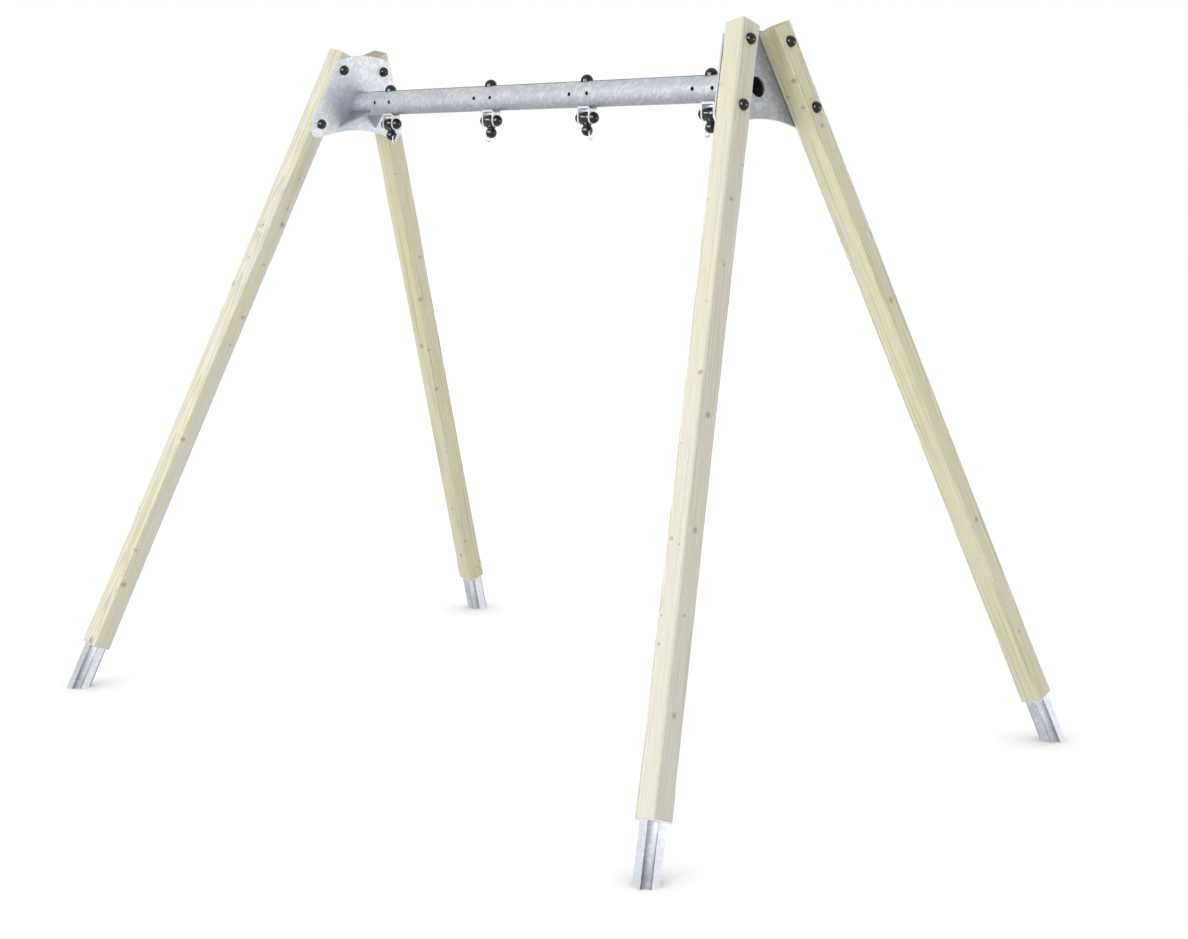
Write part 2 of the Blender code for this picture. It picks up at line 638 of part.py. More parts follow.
def build_hanger(number, x, toward_seat):
    """One hanger: fixed bracket, bolt, axle and caps, a swinging arm, and a shackle on its pin."""
    label = "_" + str(number)
    turn = 0.0 if toward_seat > 0 else math.pi
    hanger = place("hanger" + label, None, None, (x, 0, BEAM_HEIGHT), (0, 0, turn))
    place("hanger_bracket" + label, BRACKET, hanger)
    place("hanger_bolt" + label, HANGER_BOLT, hanger)
    ear_face = BRACKET_WIDTH / 2 + GAP
    place("hanger_axle" + label, AXLE, hanger, (ear_face, 0, -PIVOT_DROP))
    place("axle_cap" + label, AXLE_CAP, hanger, (-ear_face, 0, -PIVOT_DROP), (0, 0, math.pi))
    place("hanger_arm" + label, ARM, hanger, (0, 0, -PIVOT_DROP))
    pin = (PIN_OFFSET, 0, -PIVOT_DROP - BALL_DROP - PIN_DROP)
    place("shackle_pin" + label, PIN, hanger, pin)
    place("shackle" + label, SHACKLE, hanger, pin)


clear_scene()
POST = finished(post_mesh(), PINE)
PLATE = finished(plate_mesh(), ZINC)
GUSSET_PLUS = finished(gusset_mesh(1), ZINC)
GUSSET_MINUS = finished(gusset_mesh(-1), ZINC)
POST_GRIP = into_cap(POST_SIDE + PLATE_THICKNESS + GAP)
POST_BOLT = finished(domed_bolt_mesh("post_bolt", POST_DOME_RADIUS, BOLT_RADIUS, POST_GRIP), CAP_PLASTIC)
POST_CAP = finished(domed_cap_mesh("post_cap", POST_DOME_RADIUS, BOLT_RADIUS), CAP_PLASTIC)
BRACKET = finished(bracket_mesh(), ZINC)
HANGER_BOLT = finished(hanger_bolt_mesh(), CAP_PLASTIC)
AXLE_GRIP = into_cap(BRACKET_WIDTH)
AXLE = finished(domed_bolt_mesh("hanger_axle", EAR_DOME_RADIUS, AXLE_RADIUS, AXLE_GRIP), CAP_PLASTIC)
AXLE_CAP = finished(domed_cap_mesh("axle_cap", EAR_DOME_RADIUS, AXLE_RADIUS), CAP_PLASTIC)
ARM = finished(arm_mesh(), ARM_PLASTIC)
SHACKLE = finished(shackle_mesh(), STAINLESS)
PIN = finished(pin_mesh(), STAINLESS)

place("beam", finished(beam_mesh(), ZINC), None, (0, 0, BEAM_HEIGHT))
for end_side in ("left", "right"):
    build_end(end_side)
for index, (place_x, seat_side) in enumerate(hanger_places()):
    build_hanger(index + 1, place_x, seat_side)
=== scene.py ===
# %% [markdown]
# # A timber and steel swing frame
# The object is a double swing frame for a playground: two leaning A-frames of planed square timber,
# a galvanised tube between them, and four swing hangers of black plastic and bright steel. Its solids
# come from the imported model, in metres, with the ground at z = 0, the tube along X and the front
# towards -Y. Here each solid gets the finer shape and the finish that the real piece has.

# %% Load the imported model
import math

import bmesh
import bpy
from mathutils import Matrix, Vector


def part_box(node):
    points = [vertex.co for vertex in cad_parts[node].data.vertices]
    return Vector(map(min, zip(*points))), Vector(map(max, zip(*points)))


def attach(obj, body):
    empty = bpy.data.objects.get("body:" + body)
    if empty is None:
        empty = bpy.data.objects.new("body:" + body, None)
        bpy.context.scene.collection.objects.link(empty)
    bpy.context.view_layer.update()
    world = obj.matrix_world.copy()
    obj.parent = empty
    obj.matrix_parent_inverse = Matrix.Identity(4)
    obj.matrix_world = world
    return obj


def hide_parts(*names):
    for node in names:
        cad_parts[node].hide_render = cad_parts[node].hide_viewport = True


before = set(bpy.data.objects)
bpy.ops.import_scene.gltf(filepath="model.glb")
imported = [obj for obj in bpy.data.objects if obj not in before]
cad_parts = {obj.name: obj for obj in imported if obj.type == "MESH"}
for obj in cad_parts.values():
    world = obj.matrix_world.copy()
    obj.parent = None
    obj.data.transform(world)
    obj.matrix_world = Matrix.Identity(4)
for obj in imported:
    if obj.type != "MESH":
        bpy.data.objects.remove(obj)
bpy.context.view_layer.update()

# %% [markdown]
# ## The camera
# The photograph was taken from the front right, a little below the tube's height, with a long lens.
# Its place, turn and lens were fitted to the edges of the posts and plates, so the frame falls on the
# same pixels here. The lens is given for a sensor 36 mm wide.

# %% Camera
CAMERA_PLACE = (6.23687, -5.79314, 2.34106)
CAMERA_TURN = (81.5833, 0.0781, 45.5173)
CAMERA_LENS = 59.994

camera = bpy.data.objects.new("camera", bpy.data.cameras.new("camera"))
camera.location = CAMERA_PLACE
camera.rotation_euler = [math.radians(angle) for angle in CAMERA_TURN]
camera.data.lens = CAMERA_LENS
camera.data.sensor_width = 36.0
camera.data.clip_end = 200.0
bpy.context.scene.collection.objects.link(camera)
bpy.context.scene.camera = camera
print("camera at", CAMERA_PLACE)

# %% [markdown]
# ## Colours and nodes
# Colours are read off paint charts as sRGB hex values, but a shader works in linear light, so one
# function turns them. A second one adds a shader node, sets it and links it in a single call, which
# keeps each material short enough to read. Where a whole node is handed to it, it takes the first of
# that node's outputs that is in use.

# %% Helpers for materials
def linear(hex_colour):
    """A colour written as in a paint program, as the linear RGBA that a shader needs."""
    values = [int(hex_colour[i:i + 2], 16) / 255.0 for i in (1, 3, 5)]
    return tuple(v / 12.92 if v <= 0.04045 else ((v + 0.055) / 1.055) ** 2.4 for v in values) + (1.0,)


def node(tree, kind, inputs, **settings):
    """One shader node: its settings, and for each input a value, or the socket or node that feeds it.
    The inputs are a list in the sockets' order, or named or numbered."""
    made = tree.nodes.new("ShaderNode" + kind)
    for key, value in settings.items():
        setattr(made, key, value)
    for key, value in inputs.items() if isinstance(inputs, dict) else enumerate(inputs):
        if isinstance(value, bpy.types.Node):
            value = next(output for output in value.outputs if output.enabled)
        if isinstance(value, bpy.types.NodeSocket):
            tree.links.new(value, made.inputs[key])
        else:
            made.inputs[key].default_value = value
    return made


def blank_material(name):
    """A material with an empty node tree."""
    made = bpy.data.materials.new(name)
    made.use_nodes = True
    made.node_tree.nodes.clear()
    return made


print("sRGB #808080 is linear", round(linear("#808080")[0], 3))

# %% [markdown]
# ## The studio
# Product pictures like this one are cut out on pure white. A white floor under white light would
# do it, but then the light on the object would have to be strong enough to bleach the floor. Instead
# the floor and the surroundings glow by themselves for the camera, and for reflections in metal, while
# the light that falls on the object stays at a level where a colour renders as it is written. The
# floor keeps a share of ordinary paint near the object, and its glow is dimmed wherever something
# stands close over it, which together show the soft shadows under the leaning feet.

# %% The floor
FLOOR_PAINT = "#EDEDED"
FLOOR_GLOW = 0.62         # share of the floor that glows; the rest is paint and takes shadows
GLOW_STRENGTH = 1.34      # makes up for the light that the paint swallows
SHADE_REACH = 0.24        # a point of the floor is shaded by whatever stands over it this near
SHADE_DEPTH = 1.0         # and this strongly
SHADOW_REACH = (3.2, 6.5)  # distance from the middle at which the paint starts to fade and is gone
FLOOR_SIZE = 80.0
WHITE = "#FFFFFF"
SMOOTH = {"interpolation_type": "SMOOTHSTEP"}    # a slope that starts and ends gently


def reflected(tree):
    """1 for what a reflection sees, 0 for anything else."""
    path = node(tree, "LightPath", {})
    return node(tree, "Math", [path.outputs["Is Glossy Ray"], path.outputs["Is Transmission Ray"]],
                operation="ADD", use_clamp=True)


def seen_directly(tree):
    """1 for what the camera or a reflection sees, 0 for light that falls on the object."""
    path = node(tree, "LightPath", {})
    return node(tree, "Math", [path.outputs["Is Camera Ray"], reflected(tree)],
                operation="ADD", use_clamp=True)


def studio_floor():
    made = blank_material("white studio floor")
    tree = made.node_tree
    paint = node(tree, "BsdfDiffuse", {"Color": linear(FLOOR_PAINT)})
    place = node(tree, "TexCoord", {}).outputs["Object"]
    open_sky = node(tree, "AmbientOcclusion", {"Distance": SHADE_REACH}, samples=8).outputs["AO"]
    shaded = node(tree, "Math", [open_sky, SHADE_DEPTH], operation="POWER")
    lit = node(tree, "Math", [shaded, GLOW_STRENGTH], operation="MULTIPLY")
    strength = node(tree, "Mix", {0: reflected(tree), 2: lit, 3: 1.0})
    glow = node(tree, "Emission", {"Color": linear(WHITE), "Strength": strength})
    distance = node(tree, "VectorMath", [place], operation="LENGTH")
    near = node(tree, "MapRange", {0: reflected(tree), 3: FLOOR_GLOW, 4: 1.0})
    fade = node(tree, "MapRange", [distance, SHADOW_REACH[0], SHADOW_REACH[1], near, 1.0], **SMOOTH)
    share = node(tree, "Math", [seen_directly(tree), fade], operation="MULTIPLY")
    mixed = node(tree, "MixShader", [share, paint, glow])
    node(tree, "OutputMaterial", {"Surface": mixed})
    return made


bpy.ops.mesh.primitive_plane_add(size=FLOOR_SIZE)
floor = bpy.context.active_object
floor.name = "studio_floor"
floor.data.materials.append(studio_floor())
bpy.context.scene.view_settings.view_transform = "Standard"
print("floor", FLOOR_SIZE, "m wide")

# %% [markdown]
# ## The surroundings
# Beyond the floor the world is white too. Metal mirrors it, and a mirrored plain white would leave
# the zinc without any shape, so in reflections the ceiling is a little darker, and low down so is the
# front left side. That is partly why a foot's front flat looks darker than its right one; the rest is
# painted shade in its zinc.

# %% The world
SKY_LIGHT = 0.56          # light from all around that falls on the object
CEILING = 0.86            # how bright the ceiling is in reflections
CEILING_EDGE = (0.15, 0.75)  # upwards part of a direction at which the ceiling begins and is full
DARK_SIDE = 0.58          # how bright the front left side is in reflections
DARK_EDGE = (-0.9, 0.5)   # how far a direction points to the rear right, from darkest to white


def surroundings():
    world = bpy.data.worlds.new("white surroundings")
    world.use_nodes = True
    tree = world.node_tree
    tree.nodes.clear()
    towards = node(tree, "TexCoord", {}).outputs["Generated"]
    flat = node(tree, "VectorMath", [towards, (1.0, 1.0, 0.0)], operation="MULTIPLY")
    way = node(tree, "VectorMath", [flat], operation="NORMALIZE")
    rear_right = node(tree, "VectorMath", [way, (0.707, 0.707, 0.0)], operation="DOT_PRODUCT")
    side = node(tree, "MapRange", [rear_right, DARK_EDGE[0], DARK_EDGE[1], DARK_SIDE, 1.0], **SMOOTH)
    upwards = node(tree, "SeparateXYZ", [towards]).outputs["Z"]
    mirrored = node(tree, "MapRange", [upwards, CEILING_EDGE[0], CEILING_EDGE[1], side, CEILING], **SMOOTH)
    lit = node(tree, "MapRange", {0: seen_directly(tree), 3: SKY_LIGHT, 4: 1.0})
    strength = node(tree, "Mix", {0: reflected(tree), 2: lit, 3: mirrored})
    white = node(tree, "Background", {"Color": linear(WHITE), "Strength": strength})
    node(tree, "OutputWorld", {"Surface": white})
    return world


bpy.context.scene.world = surroundings()
print("light from all around:", SKY_LIGHT)

# %% [markdown]
# ## The lamps
# Every black dome shows the lamps as small bright windows: two tall ones side by side on its left,
# and a faint one on its right. So the key light is a pair of tall softboxes in front of the swing,
# which also makes the posts' front faces the brightest, and a third, weaker softbox stands at its
# right-hand end. A weak lamp at the camera lifts the posts' rounded arrises, and shows in no mirror.
# Windows as large as those on the domes would flood the rough zinc with light, so three lamps are kept
# for the black plastic: light linking lets them shine on a collection of its pieces and nothing else.
# A long low strip far to the left does the same for the streak on the arms' barrels.

# %% Softboxes
ON_THE_FRAME = (0.0, 0.0, 1.9)
ON_THE_BEAM = (0.0, 0.0, 2.6)


def softbox(name, place, width, height, watts, target=ON_THE_FRAME):
    """A soft rectangular lamp that faces the target."""
    lamp = bpy.data.lights.new(name, "AREA")
    lamp.shape = "RECTANGLE"
    lamp.size = width
    lamp.size_y = height
    lamp.energy = watts
    holder = bpy.data.objects.new(name, lamp)
    holder.location = place
    holder.rotation_euler = (Vector(target) - Vector(place)).to_track_quat("-Z", "Y").to_euler()
    bpy.context.scene.collection.objects.link(holder)
    return holder


softbox("key_left", (-1.8, -9.0, 4.0), 1.7, 3.6, 180.0)
softbox("key_right", (1.9, -8.8, 4.0), 1.7, 3.6, 180.0)
softbox("side_fill", (8.4, 4.8, 1.9), 3.6, 3.4, 72.0)
softbox("camera_fill", (7.6, -7.1, 3.6), 2.6, 2.6, 50.0).visible_glossy = False
black_pieces = bpy.data.collections.new("black plastic pieces")
swing_arms = bpy.data.collections.new("swing arms")
for name, place, width, height, watts, pieces in (
        ("window_left", (-2.3, -8.8, 5.3), 2.5, 5.6, 720.0, black_pieces),
        ("window_right", (3.4, -8.4, 5.3), 2.5, 5.6, 720.0, black_pieces),
        ("window_side", (8.6, 3.6, 0.9), 3.4, 2.6, 230.0, black_pieces),
        ("strip_far_left", (-6.8, -6.4, 5.2), 5.5, 1.9, 520.0, swing_arms)):
    window = softbox(name, place, width, height, watts, ON_THE_BEAM)
    window.visible_diffuse = False
    window.light_linking.receiver_collection = pieces

# %% [markdown]
# ## Finish: pressure-treated pine, its knots
# The posts are planed spruce or pine, soaked under pressure in a copper salt. An image of wood would
# show the same face four times, so the wood is made as a block instead, read from attributes that
# hold each point's place, so that it follows the leaning timber. Its small purple-brown knots come
# first. They are spots by the angle round the post and the height: in the middle of a face a knot
# shows as an oval, and near an arris, where the branch was cut along, as a dash.

# %% Knots
KNOT_CELL = (0.90, 0.19)   # one knot to each such angle round the post and height, at most
KNOT_HALF = (0.33, 0.0160)  # half the angle and height that the largest knot takes up
KNOT_RARITY = 0.58         # share of the cells whose knot is too small to show
KNOT_SWIRL = 0.0040        # how far the growth rings are pushed aside by a knot


def knots(tree):
    """How much a point is knot, how far its growth ring is pushed aside, and which knot it is, as 0 to 1."""
    branch = node(tree, "Attribute", {}, attribute_name="branch").outputs["Vector"]
    spot = node(tree, "SeparateXYZ", [branch])
    angle = node(tree, "Math", [spot.outputs["Y"], spot.outputs["X"]], operation="ARCTAN2")
    round_post = node(tree, "CombineXYZ", [angle, spot.outputs["Z"]])
    cells = node(tree, "VectorMath", [round_post, [1.0 / cell for cell in KNOT_CELL] + [1.0]],
                 operation="MULTIPLY")
    pattern = node(tree, "TexVoronoi", {"Vector": cells, "Scale": 1.0, "Randomness": 1.0},
                   voronoi_dimensions="2D")
    away = node(tree, "VectorMath", [cells, pattern.outputs["Position"]], operation="SUBTRACT")
    halves = [cell / half for cell, half in zip(KNOT_CELL, KNOT_HALF)]
    scaled = node(tree, "VectorMath", [away, halves + [0.0]], operation="MULTIPLY")
    reach = node(tree, "VectorMath", [scaled], operation="LENGTH")
    chance = node(tree, "SeparateColor", [pattern.outputs["Color"]])
    size = node(tree, "MapRange", [chance.outputs["Red"], KNOT_RARITY, 1.0, 0.02, 1.0])
    nearness = node(tree, "Math", [reach, size], operation="DIVIDE")
    knot = node(tree, "MapRange", [nearness, 1.15, 0.35, 0.0, 1.0], **SMOOTH)
    swirl = node(tree, "MapRange", [nearness, 3.6, 0.6, 0.0, KNOT_SWIRL], **SMOOTH)
    return knot, swirl, chance.outputs["Green"]


print("a knot to each", round(KNOT_CELL[1] * 1000), "mm of height, at most")

# %% [markdown]
# ## Finish: pressure-treated pine, its growth rings
# The rings are cylinders round a heart that runs along the post, so each face is a cut through them:
# fine straight lines where it is cut along, and long arches where the tree narrows. A slow wobble
# keeps them from being perfect. Each ring is pale where it grew in spring and darkens to a sharp edge.

# %% Growth rings
RING_WIDTH = 0.0042        # one year's growth
RING_WOBBLE = 0.022        # how far a ring strays from round
HEART_TAPER = 0.011        # how much a tree narrows per metre of height, which draws out the arches
LATE_SEASON = (0.30, 0.88)  # shares of the year at which a ring starts to darken and is darkest


def late_wood(tree, place, wobble, swirl):
    """How dark a point's growth ring is, from 0 in spring to 1 in autumn."""
    across = node(tree, "VectorMath", [place, (1.0, 1.0, 0.0)], operation="MULTIPLY")
    radius = node(tree, "VectorMath", [across], operation="LENGTH")
    pushed = node(tree, "Math", [wobble, RING_WOBBLE, radius], operation="MULTIPLY_ADD")
    height = node(tree, "SeparateXYZ", [place]).outputs["Z"]
    cone = node(tree, "Math", [height, HEART_TAPER, pushed], operation="MULTIPLY_ADD")
    bent = node(tree, "Math", [cone, swirl], operation="ADD")
    years = node(tree, "Math", [bent, RING_WIDTH], operation="DIVIDE")
    season = node(tree, "Math", [years], operation="FRACT")
    rise = node(tree, "MapRange", [season, LATE_SEASON[0], LATE_SEASON[1], 0.0, 1.0], **SMOOTH)
    fall = node(tree, "MapRange", [season, LATE_SEASON[1], 1.0, 1.0, 0.0])
    return node(tree, "Math", [rise, fall], operation="MULTIPLY")


print("growth rings", RING_WIDTH * 1000, "mm wide")

# %% [markdown]
# ## Finish: pressure-treated pine, its colour
# The wood stays pale cream, and the salt leaves a faint yellow green cast that comes and goes along
# the post, with beige streaks. The same cast, laid on thicker at the top of each post and partly on
# the rear posts, is painted shade. Fibres, streaks and cast are noise drawn out along the post, and
# are laid over each other like glazes: cream and cast, then streaks, rings, fibres, saw cuts and
# knots. Three attributes say where a point lies in its tree, how much salt the post took up there
# together with the painted shade, and whether it is on a saw cut.

# %% Treated pine
CREAM = "#F0EEE4"
# The salt's yellow green cast; laid on thicker, it paints shade at the posts' tops and rear posts.
SALT_AND_SHADE_TINT = "#F2EDC6"
BEIGE = "#D0C4A3"
RING_BROWN = "#B9B089"
SAW_CUT = "#9C9361"
KNOT_BROWN = "#A8785F"
KNOT_GREY = "#8C787C"
RING_COVER, CUT_COVER, KNOT_COVER = 0.42, 0.55, 0.54    # how strongly each one covers the wood
CAST_RANGE = (0.42, 1.20)    # cloud, salt and painted shade together at which the cast starts and is full
STREAK_RANGE = (0.35, 0.75)  # the strongest streak in wood with little and with much salt and painted shade
# Each pattern's repeats per metre across and along the post, and its detail
WOOD_PATTERNS = {"wobble": ((9.0, 9.0, 1.3), 2.0),       # 110 mm across, 770 mm along
                 "cast": ((11.0, 11.0, 1.1), 2.0),       # 90 mm across, 900 mm along
                 "streak": ((75.0, 75.0, 1.7), 2.0),     # 13 mm across, 590 mm along
                 "fibre": ((520.0, 520.0, 9.0), 3.0)}    # 2 mm across, 110 mm along


def treated_pine():
    made = blank_material("pressure treated pine")
    tree = made.node_tree
    place = node(tree, "Attribute", {}, attribute_name="grain").outputs["Vector"]
    end = node(tree, "Attribute", {}, attribute_name="cut_end").outputs["Fac"]
    salt_and_shade = node(tree, "Attribute", {}, attribute_name="salt_and_shade").outputs["Fac"]
    noise = {}
    for name, (per_metre, detail) in WOOD_PATTERNS.items():
        stretched = node(tree, "Mapping", {"Vector": place, "Scale": per_metre})
        noise[name] = node(tree, "TexNoise", {"Vector": stretched, "Scale": 1.0, "Detail": detail})
    knot, swirl, knot_chance = knots(tree)
    ring = late_wood(tree, place, noise["wobble"], swirl)

    # More salt gives more cast and stronger streaks; the share that is painted shade darkens the same way.
    salt_and_shade_cloud = node(tree, "Math", [noise["cast"], salt_and_shade], operation="ADD")
    cast = node(tree, "MapRange", [salt_and_shade_cloud, CAST_RANGE[0], CAST_RANGE[1], 0.0, 1.0])
    strongest = node(tree, "MapRange", [salt_and_shade, 0.1, 0.6, STREAK_RANGE[0], STREAK_RANGE[1]])
    streak = node(tree, "MapRange", [noise["streak"], 0.50, 0.72, 0.0, strongest], **SMOOTH)
    rings = node(tree, "Math", [ring, RING_COVER], operation="MULTIPLY")
    fibre = node(tree, "MapRange", [noise["fibre"], 0.25, 0.75, 0.84, 1.09])
    cut = node(tree, "Math", [end, CUT_COVER], operation="MULTIPLY")
    spots = node(tree, "Math", [knot, KNOT_COVER], operation="MULTIPLY")
    knot_wood = node(tree, "Mix", {0: knot_chance, 6: linear(KNOT_BROWN), 7: linear(KNOT_GREY)},
                     data_type="RGBA")

    wood = linear(CREAM)
    for share, glaze in ((cast, linear(SALT_AND_SHADE_TINT)), (streak, linear(BEIGE)), (rings, linear(RING_BROWN))):
        wood = node(tree, "Mix", {0: share, 6: wood, 7: glaze}, data_type="RGBA")
    wood = node(tree, "VectorMath", {0: wood, "Scale": fibre}, operation="SCALE")
    for share, glaze in ((cut, linear(SAW_CUT)), (spots, knot_wood)):
        wood = node(tree, "Mix", {0: share, 6: wood, 7: glaze}, data_type="RGBA")

    relief = node(tree, "Math", [noise["fibre"], 0.6, ring], operation="MULTIPLY_ADD")
    bump = node(tree, "Bump", {"Height": relief, "Strength": 0.5, "Distance": 0.0003})
    roughness = node(tree, "MapRange", [noise["fibre"], 0.2, 0.8, 0.48, 0.62])
    shader = node(tree, "BsdfPrincipled", {"Base Color": wood, "Roughness": roughness, "IOR": 1.45,
                                           "Normal": bump})
    node(tree, "OutputMaterial", {"Surface": shader})
    return made


PINE = treated_pine()
print("treated pine:", len(PINE.node_tree.nodes), "nodes")

# %% [markdown]
# ## Finish: hot-dip galvanised steel, its spangle
# Steel dipped in molten zinc comes out with spangle: flat crystals, each with its own tone of pale
# blue grey, over a slightly cloudy skin. A picture of it would repeat and smear round the tube, so a
# cell pattern in space gives the crystals, and a finer one the frost inside them. Noise pushes the
# cells' edges about, because crystals are never neat polygons. Where zinc flowed off a round tube,
# they are drawn out at a slant.

# %% Spangle
FROST = 0.45               # finer flakes, as a share of the crystal's size
CLOUDS = 9.0               # per metre: clouds in the skin, 110 mm across


def spangle(tree, place, crystal, slant, drawn_out):
    """The tone of the crystals, the clouds, and the two together."""
    turn, stretch = (0.0, -slant, 0.0), (drawn_out, 1.0, 1.0)
    flow = node(tree, "Mapping", {"Vector": place, "Rotation": turn, "Scale": stretch},
                vector_type="TEXTURE")
    ragged = node(tree, "TexNoise", {"Vector": flow, "Scale": 1.1 / crystal, "Detail": 3.0})
    push = node(tree, "VectorMath", [ragged.outputs["Color"], [crystal] * 3, flow],
                operation="MULTIPLY_ADD")
    chances = []
    for size, smoothness in ((crystal, 0.6), (crystal * FROST, 0.7)):
        cells = node(tree, "TexVoronoi", {"Vector": push, "Scale": 1.0 / size, "Smoothness": smoothness},
                     feature="SMOOTH_F1")
        chances.append(node(tree, "SeparateColor", [cells.outputs["Color"]]).outputs["Red"])
    bright = node(tree, "MapRange", [chances[0], 0.35, 0.95, 0.0, 1.0], **SMOOTH)
    tone = node(tree, "Math", [chances[1], 0.35, bright], operation="MULTIPLY_ADD")
    cloud = node(tree, "TexNoise", {"Vector": place, "Scale": CLOUDS, "Detail": 4.0})
    return tone, cloud, node(tree, "Math", [cloud, 1.2, tone], operation="MULTIPLY_ADD")


print("frost flakes are", FROST, "of a crystal")

# %% [markdown]
# ## Finish: hot-dip galvanised steel, its painted shade
# Patches where the zinc turns to a darker tone are painted shade: in the corner of tube, plate and
# gusset, along the tube's top and towards its underside, at its welded ends, and in the grooves of
# the feet. A patch is four things: what is measured, such as the height or the distance from the
# joint, the values of it at which the shade is gone and is full, and how dark it gets.

# %% Painted shade on zinc
PAINTED_SHADE_ZINC = "#7F8697"      # painted shade: the darker tone that the zinc is mixed towards
PAINTED_TOP_LINE = "#2E3035"       # painted dark line: how dark the tube's very top turns where it is seen edge on


def weld_patch(tree, place, cloud, centre, reach, most):
    """Painted shade round a point by the tube's joint, with an edge that wanders with the clouds."""
    y, z = centre
    beside = node(tree, "VectorMath", [place, (0.0, 1.0, 1.0), (0.0, -y, -z)], operation="MULTIPLY_ADD")
    distance = node(tree, "VectorMath", [beside], operation="LENGTH")
    wander = node(tree, "Math", [cloud, -0.10, distance], operation="MULTIPLY_ADD")
    return wander, reach - 0.05, -0.02, most


def tube_patches(tree, place, axis, radius, half_length):
    """Painted shade along the top, towards the underside and at both ends of a tube with its axis this high.
    """
    spot = node(tree, "SeparateXYZ", [place])
    along = node(tree, "Math", [spot.outputs["X"]], operation="ABSOLUTE")
    return [(spot.outputs["Z"], axis + radius - 0.0065, axis + radius - 0.001, 1.0),
            (spot.outputs["Z"], axis + radius * 0.15, axis - radius, 0.62),
            (along, half_length - 0.14, half_length - 0.01, 0.36)]


def groove_patches(tree):
    """Painted shade on one side of a foot's groove and in the crease on its other side."""
    across = node(tree, "Attribute", {}, attribute_name="across_groove").outputs["Fac"]
    return [(across, 0.60, 0.12, 0.62), (across, 0.86, 0.99, 0.75)]


print("painted shade zinc is linear", [round(value, 3) for value in linear(PAINTED_SHADE_ZINC)[:3]])

# %% [markdown]
# ## Finish: hot-dip galvanised steel
# Zinc is a metal, so nearly all its light is reflection, but it is rough and the reflection is spread
# wide. One recipe makes every zinc on the frame, from the crystal's size, a dark and a light tone, and
# where painted shade darkens it: round the tube's joint, with its centre (y, z), reach and darkness, a
# tube, with the height of its axis, its radius and its half length, or a groove.

# %% Galvanised steel
def galvanised_steel(name, crystal, dark, light, slant=0.0, drawn_out=1.0, joint_shade=None, tube=None,
                     groove=False):
    """Zinc with crystals of a size, from a dark to a light tone, drawn out at a slant in the XZ plane."""
    made = blank_material(name)
    tree = made.node_tree
    place = node(tree, "TexCoord", {}).outputs["Object"]
    tone, cloud, clouded = spangle(tree, place, crystal, slant, drawn_out)
    share = node(tree, "MapRange", [clouded, 0.45, 1.75, 0.0, 1.0])
    zinc = node(tree, "Mix", {0: share, 6: linear(dark), 7: linear(light)}, data_type="RGBA")
    edge_tint = linear(WHITE)

    patches = []
    if tube is not None:
        patches += tube_patches(tree, place, *tube)
    if joint_shade is not None:
        patches.append(weld_patch(tree, place, cloud, *joint_shade))
    if groove:
        patches += groove_patches(tree)
    slopes = []
    for measured, gone, full, most in patches:
        slopes.append(node(tree, "MapRange", [measured, gone, full, 0.0, most], **SMOOTH))
    # Every patch is painted shade: the strongest one mixes the zinc towards the darker tone.
    if slopes:
        shade_share = slopes[0]
        for slope in slopes[1:]:
            shade_share = node(tree, "Math", [shade_share, slope], operation="MAXIMUM")
        zinc = node(tree, "Mix", {0: shade_share, 6: zinc, 7: linear(PAINTED_SHADE_ZINC)}, data_type="RGBA")
    # The top's reflection is darkened too: a painted dark line.
    if tube is not None:    # its first patch is its top
        edge_tint = node(tree, "Mix", {0: slopes[0], 6: linear(WHITE), 7: linear(PAINTED_TOP_LINE)},
                         data_type="RGBA")

    roughness = node(tree, "MapRange", [tone, 0.1, 1.2, 0.56, 0.42])
    bump = node(tree, "Bump", {"Height": clouded, "Strength": 0.15, "Distance": 0.0004})
    shader = node(tree, "BsdfPrincipled", {"Base Color": zinc, "Metallic": 0.72, "Roughness": roughness,
                                           "Specular Tint": edge_tint, "Normal": bump})
    node(tree, "OutputMaterial", {"Surface": shader})
    return made


def tube_inside():
    """The tube's inside, painted dark brown as the shade where no light falls."""
    made = blank_material("painted shade inside the tube")
    shader = node(made.node_tree, "BsdfPrincipled",
                  {"Base Color": linear("#3A352E"), "Metallic": 0.0, "Roughness": 0.9, "IOR": 1.5})
    node(made.node_tree, "OutputMaterial", {"Surface": shader})
    return made


TUBE_INSIDE_SHADE = tube_inside()
print("finish without zinc:", TUBE_INSIDE_SHADE.name)

# %% [markdown]
# ## The zincs of this frame
# The plates are pale with painted shade round the tube's joint, and greyer on the side that faces the
# sky, which is painted shade too. The gussets are darker, painted shade under the tube. The tube is
# greyer too, with small slanting crystals. A foot's front flats and its grooves have darker tones of
# their own, painted shade, and the rest of it and the brackets have the palest zinc.

# %% Zinc for each piece
BEAM_HEIGHT = sum(corner.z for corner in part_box("beam")) / 2
BEAM_HALF_LENGTH = max(corner.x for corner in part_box("beam"))
BEAM_RADIUS = 0.054
# Painted shade round the tube's joint, with its centre (y, z), reach and darkness.
PLATE_JOINT_SHADE = ((-0.075, BEAM_HEIGHT - 0.010), 0.172, 0.42)
GUSSET_SHADE = ((0.0, BEAM_HEIGHT), 0.220, 0.70)
CRYSTAL = 0.012
PLATE_ZINC = galvanised_steel("galvanised plate", CRYSTAL, "#DADEE6", "#F2F4F7", joint_shade=PLATE_JOINT_SHADE)
# The plate's outer face is greyer: painted shade.
PLATE_OUTSIDE_SHADE = galvanised_steel("galvanised plate, painted shade outside", 0.016, "#A6ABB5", "#C2C6CE")
